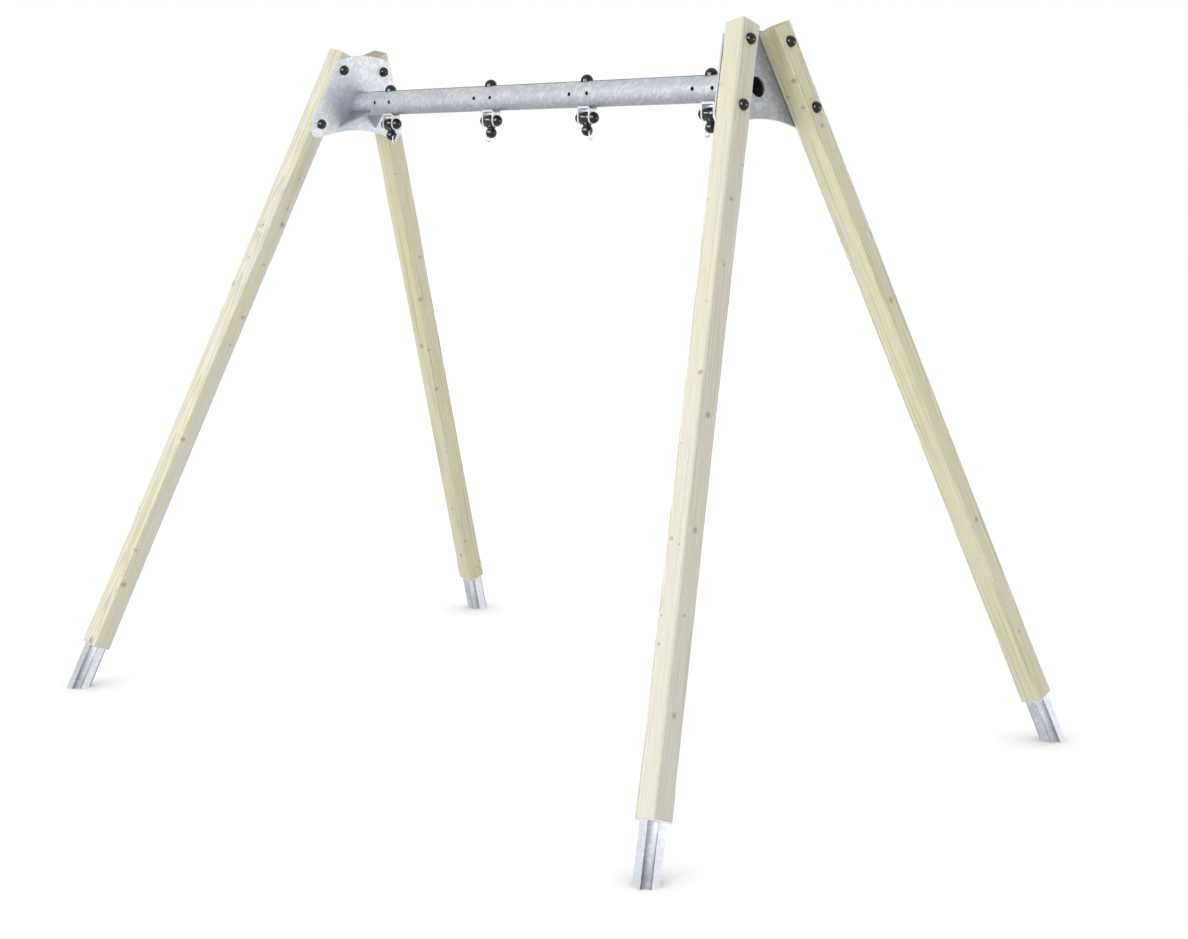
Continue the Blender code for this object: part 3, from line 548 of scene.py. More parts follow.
# The gussets' darker tones are painted shade under the tube.
GUSSET_ZINC = galvanised_steel("galvanised gusset", CRYSTAL, "#B4B9C5", "#D0D3DB", joint_shade=GUSSET_SHADE)
TUBE_ZINC = galvanised_steel("galvanised tube", 0.0095, "#C2C7D0", "#E4E6EB", math.radians(50.0), 2.0,
                             tube=(BEAM_HEIGHT, BEAM_RADIUS, BEAM_HALF_LENGTH))
ZINC = galvanised_steel("galvanised profile and strip", CRYSTAL, "#E0E4EC", "#F2F4F8")
# A foot's front flats are darker: painted shade.
FOOT_FRONT_SHADE_ZINC = {
    "front": galvanised_steel("galvanised profile, front", CRYSTAL, "#CDD1DA", "#E4E7EC"),
    "rear": galvanised_steel("galvanised profile, rear feet's front", CRYSTAL, "#B9BEC8", "#D0D4DB")}
GROOVE_ZINC = galvanised_steel("galvanised profile, groove", CRYSTAL, "#D6DAE2", "#ECEFF3", groove=True)
print("galvanised steel:", len(PLATE_ZINC.node_tree.nodes), "nodes, tube:", len(TUBE_ZINC.node_tree.nodes))

# %% [markdown]
# ## Finishes: black plastic and bright steel
# The domed caps are moulded polyamide, nearly black and glossy enough to mirror the lamps. The swing
# arms are a tougher grade with a slightly duller skin. Both have the faint unevenness of a moulded
# face, which breaks up the edge of a reflection. The shackles and their pins are drawn stainless
# rod, the brightest thing on the frame.

# %% Plastic and stainless steel
def moulded_plastic(name, colour, roughness, grain_size, grain_height):
    """Black plastic with a moulded skin whose unevenness has the size and height given."""
    made = blank_material(name)
    tree = made.node_tree
    place = node(tree, "TexCoord", {}).outputs["Object"]
    skin = node(tree, "TexNoise", {"Vector": place, "Scale": 1.0 / grain_size, "Detail": 3.0})
    bump = node(tree, "Bump", {"Height": skin, "Strength": 0.08, "Distance": grain_height})
    spread = node(tree, "MapRange", [skin, 0.3, 0.7, roughness - 0.02, roughness + 0.03])
    shader = node(tree, "BsdfPrincipled", {"Base Color": linear(colour), "Roughness": spread, "IOR": 1.53,
                                           "Specular IOR Level": 0.38, "Normal": bump})
    node(tree, "OutputMaterial", {"Surface": shader})
    return made


def stainless_steel():
    made = blank_material("drawn stainless steel")
    tree = made.node_tree
    place = node(tree, "TexCoord", {}).outputs["Object"]
    drawn = node(tree, "TexNoise", {"Vector": place, "Scale": 900.0, "Detail": 2.0})
    roughness = node(tree, "MapRange", [drawn, 0.3, 0.7, 0.14, 0.26])
    bump = node(tree, "Bump", {"Height": drawn, "Strength": 0.15, "Distance": 0.00005})
    shader = node(tree, "BsdfPrincipled", {"Base Color": linear("#D2D4D6"), "Metallic": 1.0,
                                           "Roughness": roughness, "Normal": bump})
    node(tree, "OutputMaterial", {"Surface": shader})
    return made


CAP_PLASTIC = moulded_plastic("glossy black polyamide", "#0D0E0F", 0.10, 0.0016, 0.00002)
ARM_PLASTIC = moulded_plastic("satin black polyamide", "#111213", 0.16, 0.0012, 0.00003)
STAINLESS = stainless_steel()
print("finishes:", [m.name for m in (CAP_PLASTIC, ARM_PLASTIC, STAINLESS)])

# %% [markdown]
# ## Modelling as by hand
# Every new piece starts as a primitive and is shaped with the same operators as in the viewport.
# An operator works on whatever is selected, so each helper first leaves only its own piece selected.
# Round parts are turned: a small plane is merged to a single point, the point is extruded along half
# of the outline, and the outline is spun round Z. Flat parts are drawn in the same way and extruded.
# Holes and unions are Boolean modifiers, and a Bevel modifier takes the crispness off the edges.
# Last, Weighted Normal makes the large faces shade flat right up to their narrow rounded edges.

# %% Helpers for modelling
CRISP = math.radians(32.0)    # an edge that turns by more than this is an edge, not part of a curve
TURNED_SIDES = 64
DRILL_SIDES = 32
HAIR = 0.00001                # a distance that counts as nothing
DOUBLE = 0.000001             # points closer than this are one point


def only(piece):
    """Leave this piece alone selected and active."""
    bpy.ops.object.select_all(action="DESELECT")
    piece.select_set(True)
    bpy.context.view_layer.objects.active = piece


def pick(kind, test):
    """In edit mode, select the edges or faces that pass the test."""
    bpy.ops.mesh.select_mode(type=kind)
    bpy.ops.mesh.select_all(action="DESELECT")
    shape = bmesh.from_edit_mesh(bpy.context.edit_object.data)
    for element in {"EDGE": shape.edges, "FACE": shape.faces}[kind]:
        if test(element):
            element.select_set(True)
    bmesh.update_edit_mesh(bpy.context.edit_object.data)


def extent(edge, axis):
    """How far an edge reaches along an axis."""
    start, end = [getattr(vertex.co, axis) for vertex in edge.verts]
    return abs(start - end)


def round_edges(piece, test, width, segments):
    """Bevel the edges of a piece that pass the test."""
    only(piece)
    bpy.ops.object.mode_set(mode="EDIT")
    pick("EDGE", test)
    bpy.ops.mesh.bevel(offset=width, segments=segments)
    bpy.ops.object.mode_set(mode="OBJECT")


def modify(piece, kind, **settings):
    """Give a piece a modifier with these settings, and apply it."""
    only(piece)
    step = piece.modifiers.new("step", kind)
    for key, value in settings.items():
        setattr(step, key, value)
    bpy.ops.object.modifier_apply(modifier=step.name)


def discard(*pieces):
    """Throw away what was only needed to make something else."""
    for piece in pieces:
        bpy.data.objects.remove(piece, do_unlink=True)


def move(piece, place):
    """Move a piece by moving its mesh, so that the object itself stays at the origin."""
    piece.data.transform(place)
    piece.data.update()
    return piece


def shift(x=0.0, y=0.0, z=0.0):
    """The place that lies this far along each axis."""
    return Matrix.Translation((x, y, z))


def arc(centre, radius, start, end, steps):
    """Points on a circle from one angle to another, both ends included."""
    turns = [start + (end - start) * i / steps for i in range(steps + 1)]
    return [(centre[0] + radius * math.cos(a), centre[1] + radius * math.sin(a)) for a in turns]


def block(size, centre):
    """A cube stretched to a size."""
    bpy.ops.object.select_all(action="DESELECT")
    bpy.ops.mesh.primitive_cube_add(size=1.0, location=centre, scale=size)
    bpy.ops.object.transform_apply(location=True, rotation=True, scale=True)
    return bpy.context.active_object


def bar(along, radius, length, centre=(0.0, 0.0, 0.0), sides=DRILL_SIDES):
    """A round bar along an axis, mostly used to cut holes and hollows."""
    turn = {"X": (0.0, math.pi / 2, 0.0), "Y": (math.pi / 2, 0.0, 0.0), "Z": (0.0, 0.0, 0.0)}[along]
    bpy.ops.object.select_all(action="DESELECT")
    bpy.ops.mesh.primitive_cylinder_add(vertices=sides, radius=radius, depth=length, location=centre,
                                        rotation=turn)
    bpy.ops.object.transform_apply(location=True, rotation=True, scale=True)
    return bpy.context.active_object


def draw(points):
    """Draw a line through points by extruding a vertex, and stay in edit mode."""
    bpy.ops.object.select_all(action="DESELECT")
    bpy.ops.mesh.primitive_plane_add(size=0.001)
    bpy.ops.object.mode_set(mode="EDIT")
    bpy.ops.mesh.select_mode(type="VERT")
    bpy.ops.mesh.merge(type="CENTER")
    bpy.ops.transform.translate(value=points[0])
    for here, there in zip(points, points[1:]):
        step = [b - a for a, b in zip(here, there)]
        bpy.ops.mesh.extrude_region_move(TRANSFORM_OT_translate={"value": step})
    bpy.ops.mesh.select_all(action="SELECT")


def close_up():
    """Join doubled points, turn all faces outwards and leave edit mode."""
    bpy.ops.mesh.select_all(action="SELECT")
    bpy.ops.mesh.remove_doubles(threshold=DOUBLE)
    bpy.ops.mesh.normals_make_consistent(inside=False)
    bpy.ops.object.mode_set(mode="OBJECT")
    return bpy.context.active_object


def lathe(profile, sides=TURNED_SIDES):
    """A solid turned about Z from its profile of (radius, height) points, pole to pole."""
    draw([(radius, 0.0, height) for radius, height in profile])
    bpy.ops.mesh.spin(steps=sides, angle=2.0 * math.pi, center=(0.0, 0.0, 0.0), axis=(0.0, 0.0, 1.0))
    return close_up()


def sheet_metal(outline, push):
    """A flat piece: its outline is drawn, filled and extruded by the push."""
    draw(outline)
    bpy.ops.mesh.edge_face_add()
    bpy.ops.mesh.extrude_region_move(TRANSFORM_OT_translate={"value": push})
    return close_up()


def carve(piece, tools, operation="DIFFERENCE"):
    """Cut a piece with tools, or join them to it, and throw the tools away."""
    for tool in tools:
        modify(piece, "BOOLEAN", operation=operation, object=tool)
        discard(tool)


def saw(piece, point, normal):
    """Cut a piece off on the side that the normal points to, and close the cut."""
    only(piece)
    bpy.ops.object.mode_set(mode="EDIT")
    bpy.ops.mesh.select_all(action="SELECT")
    bpy.ops.mesh.bisect(plane_co=point, plane_no=normal, use_fill=True, clear_outer=True)
    bpy.ops.object.mode_set(mode="OBJECT")


def coat(piece, *finishes):
    """Shade a piece smooth between its crisp edges, and give it its finishes, if any."""
    only(piece)
    bpy.ops.object.shade_smooth_by_angle(angle=CRISP)
    for finish in finishes:
        piece.data.materials.append(finish)


def soften(piece, width, *finishes):
    """Round every crisp edge by a width, and coat the piece."""
    modify(piece, "BEVEL", width=width, segments=2, limit_method="ANGLE", angle_limit=CRISP,
           use_clamp_overlap=True)
    coat(piece, *finishes)


def another(piece, name, place):
    """A copy with its own mesh, in its own place."""
    copied = piece.copy()
    copied.data = piece.data.copy()
    copied.name = name
    copied.data.name = name
    bpy.context.scene.collection.objects.link(copied)
    return move(copied, place)


def mount(piece, body, cad_node):
    """Tie a finished piece to the body that it moves with, and hide the solid that it stands for."""
    modify(piece, "WEIGHTED_NORMAL", keep_sharp=True)
    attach(piece, body)
    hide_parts(cad_node)


print("edges sharper than", round(math.degrees(CRISP)), "degrees count as crisp")

# %% [markdown]
# ## The layout
# A few sizes settle where everything sits. Each A-frame is flat and leans outwards, and in its plane
# the two posts splay from the centre line. Two systems of axes follow from that: one for each
# A-frame, with its origin on the tube's axis at the plate's outer face, and one for each leg, with
# its origin in the middle of the post's top. The left A-frame is the right one turned half round, so
# the way along its own Y axis that leads to the rear on the right leads to the front there.

# %% Sizes and axes
PLATE_SPAN = 2.447              # between the outer faces of the two end plates, along the beam's axis
PLATE_THICKNESS = 0.008
LEAN = math.radians(11.84)      # of each A-frame, outwards towards the ground
SPLAY = math.radians(21.0)      # of each post from the A-frame's centre line
LEG_SPREAD = 0.349              # between the posts' centre lines at the beam's axis
POST_RISE = 0.2225              # post's top above the beam's axis, along the A-frame
POST_SIDE = 0.095
FOOT_LENGTH = 0.214             # from the post's end to the ground, along the post
CLEARANCE = 0.0003              # between pieces that touch
POST_X = CLEARANCE + POST_SIDE / 2
POST_TOP = (LEG_SPREAD / 2 - POST_RISE * math.tan(SPLAY), POST_RISE)
POST_TOP_HEIGHT = BEAM_HEIGHT + POST_X * math.sin(LEAN) + POST_RISE * math.cos(LEAN)
POST_LENGTH = POST_TOP_HEIGHT / (math.cos(SPLAY) * math.cos(LEAN)) - FOOT_LENGTH
BOLT_DROPS = {"upper": 0.0735, "lower": 0.3415}     # below the post's top, along the post
PLATE_FACE = PLATE_SPAN / 2 - PLATE_THICKNESS / math.cos(LEAN)    # right plate's inner face, at the beam
OUT_OF_PLATE = Vector((math.cos(LEAN), 0.0, math.sin(LEAN)))
HALF_TURN = Matrix.Rotation(math.pi, 4, "Z")
CORNERS = (("front_left", "left", 1), ("rear_left", "left", -1),
           ("rear_right", "right", 1), ("front_right", "right", -1))    # name, A-frame and way along Y


def frame_axes(side):
    """The axes of one A-frame: X outwards from the plate, Z up its slope."""
    place = shift(x=PLATE_SPAN / 2) @ Matrix.Rotation(-LEAN, 4, "Y")
    if side == "left":
        place = HALF_TURN @ place
    return shift(z=BEAM_HEIGHT) @ place


def leg_axes(side, way):
    """The axes of one leg: Z up the post from the middle of its top, X outwards."""
    top = shift(POST_X, way * POST_TOP[0], POST_TOP[1])
    return frame_axes(side) @ top @ Matrix.Rotation(way * SPLAY, 4, "X")


print("posts", round(POST_LENGTH, 4), "m long, their tops", round(POST_TOP_HEIGHT, 3), "m high")

# %% [markdown]
# ## The posts
# A post is one length of planed square timber. Its long edges are rounded by the planer, its ends are
# cut square, and two bolt holes go through it. A box with two bevels gives the shape: a wide one on
# the long edges and a hair's breadth at the saw cuts. The rounding of real timber wanders a little
# along the post, so its middle line is pushed in by a slow cloud pattern, a different stretch of it
# for each post. Each copy is also given its own stretch of the same imaginary tree, so no two posts
# show the same knots.

# %% Posts
POST_ARRIS = 0.008
POST_END_ARRIS = 0.0012
ARRIS_STEPS = 8                 # flats that make up a rounded long edge
ARRIS_WANDER = 0.0035           # how far the rounding goes in and out
ARRIS_WAVE = 0.11               # how long its waves are
ARRIS_CUTS = 70                 # cuts along the post that let it bend
BOLT_HOLE_RADIUS = 0.0065
# For each corner: where the tree's heart lies beside the post's middle, and which stretch of the tree
TREE_CUTS = {"front_left": (0.012, 0.085, 3.1), "rear_left": (0.062, 0.036, 11.7),
             "front_right": (0.040, 0.074, 19.4), "rear_right": (0.058, -0.046, 27.2)}
# Salt that each post took up; the rear posts' larger share is partly painted shade.
SALT_AND_SHADE = {"front_left": 0.16, "rear_left": 0.52, "front_right": 0.04, "rear_right": 0.48}
TOP_SHADE = 0.08                 # painted shade, added as more salt at the very top of each post
TOP_SHADE_REACH = 0.9                 # and how far down that goes
GRAIN_ATTRIBUTES = {"grain": "FLOAT_VECTOR", "branch": "FLOAT_VECTOR", "cut_end": "FLOAT", "salt_and_shade": "FLOAT"}


def make_post():
    post = block((POST_SIDE, POST_SIDE, POST_LENGTH), (0.0, 0.0, -POST_LENGTH / 2))
    bpy.ops.object.mode_set(mode="EDIT")
    pick("EDGE", lambda edge: extent(edge, "z") > POST_SIDE)
    bpy.ops.mesh.bevel(offset=POST_ARRIS, segments=ARRIS_STEPS)
    pick("EDGE", lambda edge: edge.calc_face_angle(0.0) > CRISP)
    bpy.ops.mesh.bevel(offset=POST_END_ARRIS, segments=2)
    pick("EDGE", lambda edge: extent(edge, "z") > POST_SIDE)
    bpy.ops.mesh.subdivide(number_cuts=ARRIS_CUTS)
    bpy.ops.object.mode_set(mode="OBJECT")
    carve(post, [bar("X", BOLT_HOLE_RADIUS, POST_SIDE * 2, (0.0, 0.0, -drop))
                 for drop in BOLT_DROPS.values()])
    coat(post, PINE)
    return post


def write_grain(post, heart_x, heart_y, stretch, salt_and_shade_share):
    """Store each point's place in the tree and the post, its salt and painted shade, and whether it is on a
    saw cut.
    """
    for name, kind in GRAIN_ATTRIBUTES.items():
        post.data.attributes.new(name, kind, "POINT")
    grain, branch, cut_end, salt_and_shade = [post.data.attributes[name].data for name in GRAIN_ATTRIBUTES]
    half = POST_LENGTH / 2
    for vertex in post.data.vertices:
        x, y, z = vertex.co
        grain[vertex.index].vector = (x + heart_x, y + heart_y, z + stretch)
        branch[vertex.index].vector = (x, y, z + stretch)
        cut_end[vertex.index].value = float(abs(z + half) > half - POST_END_ARRIS / 4)
        salt_and_shade[vertex.index].value = salt_and_shade_share + TOP_SHADE * max(0.0, 1.0 + z / TOP_SHADE_REACH)


def wander_arrises(post, stretch):
    """Push the middle of each rounded long edge in and out along the post."""
    arris = post.vertex_groups.new(name="arris")
    flat = POST_SIDE / 2 - POST_ARRIS
    for vertex in post.data.vertices:
        depth = min(abs(vertex.co.x), abs(vertex.co.y)) - flat
        if depth > 0.0 and abs(vertex.co.z + POST_LENGTH / 2) < POST_LENGTH / 2 - POST_SIDE:
            arris.add([vertex.index], min(1.0, 2.5 * depth / POST_ARRIS), "REPLACE")
    clouds = bpy.data.textures.new("slow clouds", "CLOUDS")
    clouds.noise_scale = ARRIS_WAVE
    move(post, shift(z=stretch))
    modify(post, "DISPLACE", texture=clouds, vertex_group=arris.name, strength=-ARRIS_WANDER,
           mid_level=0.0)
    bpy.data.textures.remove(clouds)
    move(post, shift(z=-stretch))


post_master = make_post()
for corner, side, way in CORNERS:
    post = another(post_master, "timber_post_" + corner, Matrix())
    write_grain(post, *TREE_CUTS[corner], SALT_AND_SHADE[corner])
    wander_arrises(post, TREE_CUTS[corner][2])
    move(post, leg_axes(side, way))
    mount(post, "frame", "post_" + corner)
discard(post_master)
print("post:", len(post.data.polygons), "faces")

# %% [markdown]
# ## The feet
# Under each post a galvanised steel profile keeps the timber off the ground. Its section is a square
# tube whose corners are pressed in to hollow quarter rounds, which is why the photograph shows a dark
# groove between two bright flats. The section is drawn and extruded, and a narrower copy of it takes
# out the inside. It is welded to a square plate that the post stands on, and sawn level with the
# ground after it has been set at the post's slant. The zinc's finish changes from face to face: an
# attribute holds how far across its groove a point lies, and the finish reads it.
# The darker zinc on a foot's front flats, on one side of each groove and in its crease is painted shade.

# %% Feet
FOOT_WIDTH = 0.094
FOOT_GROOVE = 0.027
GROOVE_STEPS = 14
FOOT_WALL = 0.004
FOOT_PLATE = 0.004
FOOT_WELD = 0.001
FOOT_STOCK = 0.30               # profile before it is sawn
FOOT_EDGE = 0.0016              # rounding of its rolled edges
FOOT_PLATE_EDGE = 0.0006


def foot_section(inset, top, length):
    """The section drawn in by an inset, extruded downwards: four flats joined by hollow quarter rounds."""
    half = FOOT_WIDTH / 2
    radius = FOOT_GROOVE + inset
    skipped = math.asin(inset / radius)
    outline = []
    for quarter, (x, y) in enumerate(((1, -1), (1, 1), (-1, 1), (-1, -1))):
        start = math.pi + quarter * math.pi / 2
        end = start - math.pi / 2
        outline += arc((x * half, y * half), radius, start - skipped, end + skipped, GROOVE_STEPS)
    return sheet_metal([(x, y, top) for x, y in outline], (0.0, 0.0, -length))


def make_foot():
    top = -CLEARANCE - FOOT_PLATE + FOOT_WELD
    foot = foot_section(0.0, top, FOOT_STOCK)
    round_edges(foot, lambda edge: extent(edge, "z") > FOOT_STOCK / 2
                and edge.calc_face_angle(0.0) > CRISP, FOOT_EDGE, 3)
    carve(foot, [foot_section(FOOT_WALL, top + FOOT_PLATE, FOOT_STOCK + 2 * FOOT_PLATE)])
    plate = block((POST_SIDE, POST_SIDE, FOOT_PLATE), (0.0, 0.0, -CLEARANCE - FOOT_PLATE / 2))
    round_edges(plate, lambda edge: extent(edge, "z") > FOOT_PLATE / 2, POST_ARRIS, ARRIS_STEPS)
    soften(plate, FOOT_PLATE_EDGE)
    carve(foot, [plate], "UNION")
    return foot


def coat_foot(foot, front_or_rear):
    """Pale zinc on the flats, painted shade on the front flats, on one side of a groove and in its crease.
    """
    coat(foot, ZINC, FOOT_FRONT_SHADE_ZINC[front_or_rear], GROOVE_ZINC)
    foot.data.attributes.new("across_groove", "FLOAT", "POINT")
    across = foot.data.attributes["across_groove"].data
    half = FOOT_WIDTH / 2
    # Which side of the groove takes the painted shade turns round on the rear feet.
    for vertex in foot.data.vertices:
        turn = math.atan2(half - abs(vertex.co.y), half - abs(vertex.co.x)) / (math.pi / 2)
        across[vertex.index].value = turn if front_or_rear == "front" else 1.0 - turn
    for face in foot.data.polygons:
        x, y, z = [abs(value) for value in face.center]
        on_profile = z > CLEARANCE + FOOT_PLATE and abs(face.normal.z) < 0.5
        if on_profile and math.hypot(half - x, half - y) < FOOT_GROOVE + FOOT_WALL / 2:
            if max(x, y) < half - FOOT_EDGE / 4:
                face.material_index = 2
        elif on_profile and abs(face.normal.y) > 0.9:
            face.material_index = 1


foot_master = make_foot()
for corner, side, way in CORNERS:
    foot = another(foot_master, "steel_foot_" + corner, Matrix())
    coat_foot(foot, corner.split("_")[0])
    move(foot, leg_axes(side, way) @ shift(z=-POST_LENGTH))
    saw(foot, (0.0, 0.0, 0.0), (0.0, 0.0, -1.0))
    mount(foot, "frame", "foot_" + corner)
discard(foot_master)
print("foot:", len(foot.data.polygons), "faces")

# %% [markdown]
# ## The beam
# A round steel tube joins the A-frames. A cylinder without ends is given its wall by Solidify, and
# only then is it sawn at both ends to the slope of the plates, so that the saw goes square through
# the wall. Two rows of holes are drilled: one down through it for each hanger's bolt, and a spare
# pair beside each hanger, through its front and rear.

# %% Beam
BEAM_WALL = 0.004
BEAM_SIDES = 128
SPARE_HOLE_RADIUS = 0.0085
SPARE_HOLE_OFFSET = 0.052
HANGERS = [(number, sum(corner.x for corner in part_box("hanger_bracket_" + str(number))) / 2)
           for number in (1, 2, 3, 4)]    # each hanger's number and its place along the beam


def make_beam():
    beam = bar("X", BEAM_RADIUS, PLATE_SPAN + 4 * BEAM_WALL, sides=BEAM_SIDES)
    beam.name = "beam_tube"
    bpy.ops.object.mode_set(mode="EDIT")
    pick("FACE", lambda face: abs(face.normal.x) > 0.9)
    bpy.ops.mesh.delete(type="ONLY_FACE")
    bpy.ops.object.mode_set(mode="OBJECT")
    modify(beam, "SOLIDIFY", thickness=BEAM_WALL, offset=-1.0)
    for turn in (Matrix(), HALF_TURN):
        saw(beam, turn @ Vector((PLATE_FACE - CLEARANCE, 0.0, 0.0)), turn @ OUT_OF_PLATE)
    drills = []
    for number, x in HANGERS:
        drills.append(bar("Z", BOLT_HOLE_RADIUS, 4 * BEAM_RADIUS, (x, 0.0, 0.0)))
        for offset in (-SPARE_HOLE_OFFSET, SPARE_HOLE_OFFSET):
            drills.append(bar("Y", SPARE_HOLE_RADIUS, 4 * BEAM_RADIUS, (x + offset, 0.0, 0.0)))
    carve(beam, drills)
    coat(beam, TUBE_ZINC, TUBE_INSIDE_SHADE)
    # The faces inside the wall get the painted dark brown.
    for face in beam.data.polygons:
        if math.hypot(face.center.y, face.center.z) < BEAM_RADIUS - BEAM_WALL * 0.9:
            face.material_index = 1
    return move(beam, shift(z=BEAM_HEIGHT))


beam = make_beam()
mount(beam, "frame", "beam")
print("beam:", len(beam.data.polygons), "faces, hangers at", [round(x, 3) for number, x in HANGERS])

# %% [markdown]
# ## The end plates
# A plate 8 mm thick ties each pair of posts to the beam. Its outline is all arcs: a shallow crown on
# top, a round shoulder and a bigger lobe beside each post, and an arch between the lobes. The centre
# of a shoulder or lobe lies a given distance outside the post's centre line and just touches the
# crown or the arch, which fixes it. Half the outline is worked out, mirrored, drawn and extruded.

# %% End plates
PLATE_HOLE_RADIUS = 0.040
PLATE_CROWN_RISE = 0.2233
PLATE_CROWN_RADIUS = 0.464
PLATE_ARCH_DROP = 0.1225
PLATE_ARCH_RADIUS = 0.620
PLATE_MARGIN = 0.0455
PLATE_SHOULDER_RADIUS = 0.022
PLATE_LOBE_RADIUS = 0.0425
PLATE_EDGE = 0.0010             # rounding left by the zinc on the cut edges


def beside_post(offset, centre, distance):
    """The point that far outside the post's centre line and that far from a circle's centre."""
    down = Vector((math.sin(SPLAY), -math.cos(SPLAY)))
    start = Vector((LEG_SPREAD / 2, 0.0)) + Vector((math.cos(SPLAY), math.sin(SPLAY))) * offset
    away = start - centre
    along = away.dot(down)
    return start - down * (along + math.sqrt(along ** 2 - away.length_squared + distance ** 2))


def plate_outline():
    crown = Vector((0.0, PLATE_CROWN_RISE - PLATE_CROWN_RADIUS))
    arch = Vector((0.0, -PLATE_ARCH_DROP - PLATE_ARCH_RADIUS))
    shoulder = beside_post(PLATE_MARGIN - PLATE_SHOULDER_RADIUS, crown,
                           PLATE_CROWN_RADIUS - PLATE_SHOULDER_RADIUS)
    lobe = beside_post(PLATE_MARGIN - PLATE_LOBE_RADIUS, arch, PLATE_ARCH_RADIUS + PLATE_LOBE_RADIUS)
    top = math.atan2(shoulder.y - crown.y, shoulder.x)
    foot = math.atan2(lobe.y - arch.y, lobe.x)
    half = arc(crown, PLATE_CROWN_RADIUS, math.pi / 2, top, 14)
    half += arc(shoulder, PLATE_SHOULDER_RADIUS, top, SPLAY, 8)[1:]
    half += arc(lobe, PLATE_LOBE_RADIUS, SPLAY, foot - math.pi, 24)
    half += arc(arch, PLATE_ARCH_RADIUS, foot, math.pi / 2, 18)[1:]
    return half + [(-y, h) for y, h in reversed(half[1:-1])]


def make_plate():
    plate = sheet_metal([(0.0, y, h) for y, h in plate_outline()], (-PLATE_THICKNESS, 0.0, 0.0))
    drills = [bar("X", PLATE_HOLE_RADIUS, 4 * PLATE_THICKNESS, sides=96)]
    for drop in BOLT_DROPS.values():
        for way in (1, -1):
            y = way * (POST_TOP[0] + drop * math.sin(SPLAY))
            h = POST_TOP[1] - drop * math.cos(SPLAY)
            drills.append(bar("X", BOLT_HOLE_RADIUS, 4 * PLATE_THICKNESS, (0.0, y, h)))
    carve(plate, drills)
    soften(plate, PLATE_EDGE, PLATE_ZINC, PLATE_OUTSIDE_SHADE)
    # The outer faces get the greyer zinc, painted shade.
    for face in plate.data.polygons:
        face.material_index = int(face.normal.x > 0.3)
    return plate


plate_master = make_plate()
for side in ("left", "right"):
    plate = another(plate_master, "tie_plate_" + side, frame_axes(side))
    mount(plate, "frame", "end_plate_" + side)
discard(plate_master)
print("end plate:", len(plate.data.polygons), "faces")

# %% [markdown]
# ## The gussets
# Two three-cornered fins stiffen the beam at each plate, one under its front and one under its rear.
# The fin is drawn pointing down, with both tips blunt, turned 45 degrees about the beam, and only
# then sawn to the leaning plate, because the saw cut depends on where the fin ends up.

# %% Gussets
GUSSET_THICKNESS = 0.006
GUSSET_LENGTH = 0.120
GUSSET_REACH = 0.096
GUSSET_BLUNT = 0.005
GUSSET_TURN = math.radians(45.0)
GUSSET_EDGE = 0.0007


def make_gusset(way):
    inner = BEAM_RADIUS + CLEARANCE
    outer = BEAM_RADIUS + GUSSET_REACH
    free_end = PLATE_FACE - GUSSET_LENGTH
    tip = PLATE_FACE + outer * math.sin(GUSSET_TURN) * math.tan(LEAN) - GUSSET_BLUNT
    past_plate = PLATE_SPAN / 2 + GUSSET_LENGTH
    outline = [(free_end, inner), (past_plate, inner), (past_plate, outer), (tip, outer),
               (free_end, inner + GUSSET_BLUNT)]
    gusset = sheet_metal([(x, -GUSSET_THICKNESS / 2, -reach) for x, reach in outline],
                         (0.0, GUSSET_THICKNESS, 0.0))
    move(gusset, Matrix.Rotation(way * GUSSET_TURN, 4, "X"))
    saw(gusset, (PLATE_FACE - CLEARANCE, 0.0, 0.0), OUT_OF_PLATE)
    soften(gusset, GUSSET_EDGE, GUSSET_ZINC)
    return gusset


gusset_masters = {way: make_gusset(way) for way in (1, -1)}
for corner, side, way in CORNERS:
    place = shift(z=BEAM_HEIGHT) @ (HALF_TURN if side == "left" else Matrix())
    gusset = another(gusset_masters[way], "steel_gusset_" + corner, place)
    mount(gusset, "frame", "gusset_" + corner)
discard(*gusset_masters.values())
print("gusset:", len(gusset.data.polygons), "faces")

# %% [markdown]
# ## Domed bolts and caps
# Every bolt on a playground ends under a smooth dome, so that nothing catches clothing. The head of
# a bolt carries one moulded dome, and a cap nut of the same shape closes its other end. Both are
# turned on the lathe helper: the shank for a bolt, or a blind bore for a cap, then a half round with
# a small round at the rim.

# %% Domes
POST_DOME_RADIUS = 0.0228
EAR_DOME_RADIUS = 0.0244
TOP_DOME_RADIUS = 0.0262
BOLT_RADIUS = 0.006
NUT_DEPTH = 0.014
NUT_CLEARANCE = 0.002
DOME_RIM = 0.0008
X_FROM_Z = Matrix.Rotation(math.pi / 2, 4, "Y")     # lays a piece turned about Z along X


def make_dome(radius, inside):
    """A dome that stands on x = 0 and points along X. A profile of (radius, x) gives its inside."""
    rim = arc((radius - DOME_RIM, DOME_RIM), DOME_RIM, -math.pi / 2, 0.0, 4)
    crown = arc((0.0, 0.0), radius, math.asin(DOME_RIM / radius), math.pi / 2, 20)[1:-1]
    dome = lathe(inside + rim + crown + [(0.0, radius)])
    coat(dome, CAP_PLASTIC)
    return move(dome, X_FROM_Z)


def make_domed_bolt(radius, length):
    """The dome with its shank, which runs back into the hole."""
    return make_dome(radius, [(0.0, -length), (BOLT_RADIUS - DOME_RIM, -length),
                              (BOLT_RADIUS, DOME_RIM - length), (BOLT_RADIUS, 0.0)])


def make_domed_cap(radius):
    """The dome with a blind bore for the bolt's end."""
    bore = BOLT_RADIUS + CLEARANCE
    return make_dome(radius, [(0.0, NUT_DEPTH), (bore, NUT_DEPTH), (bore, 0.0)])


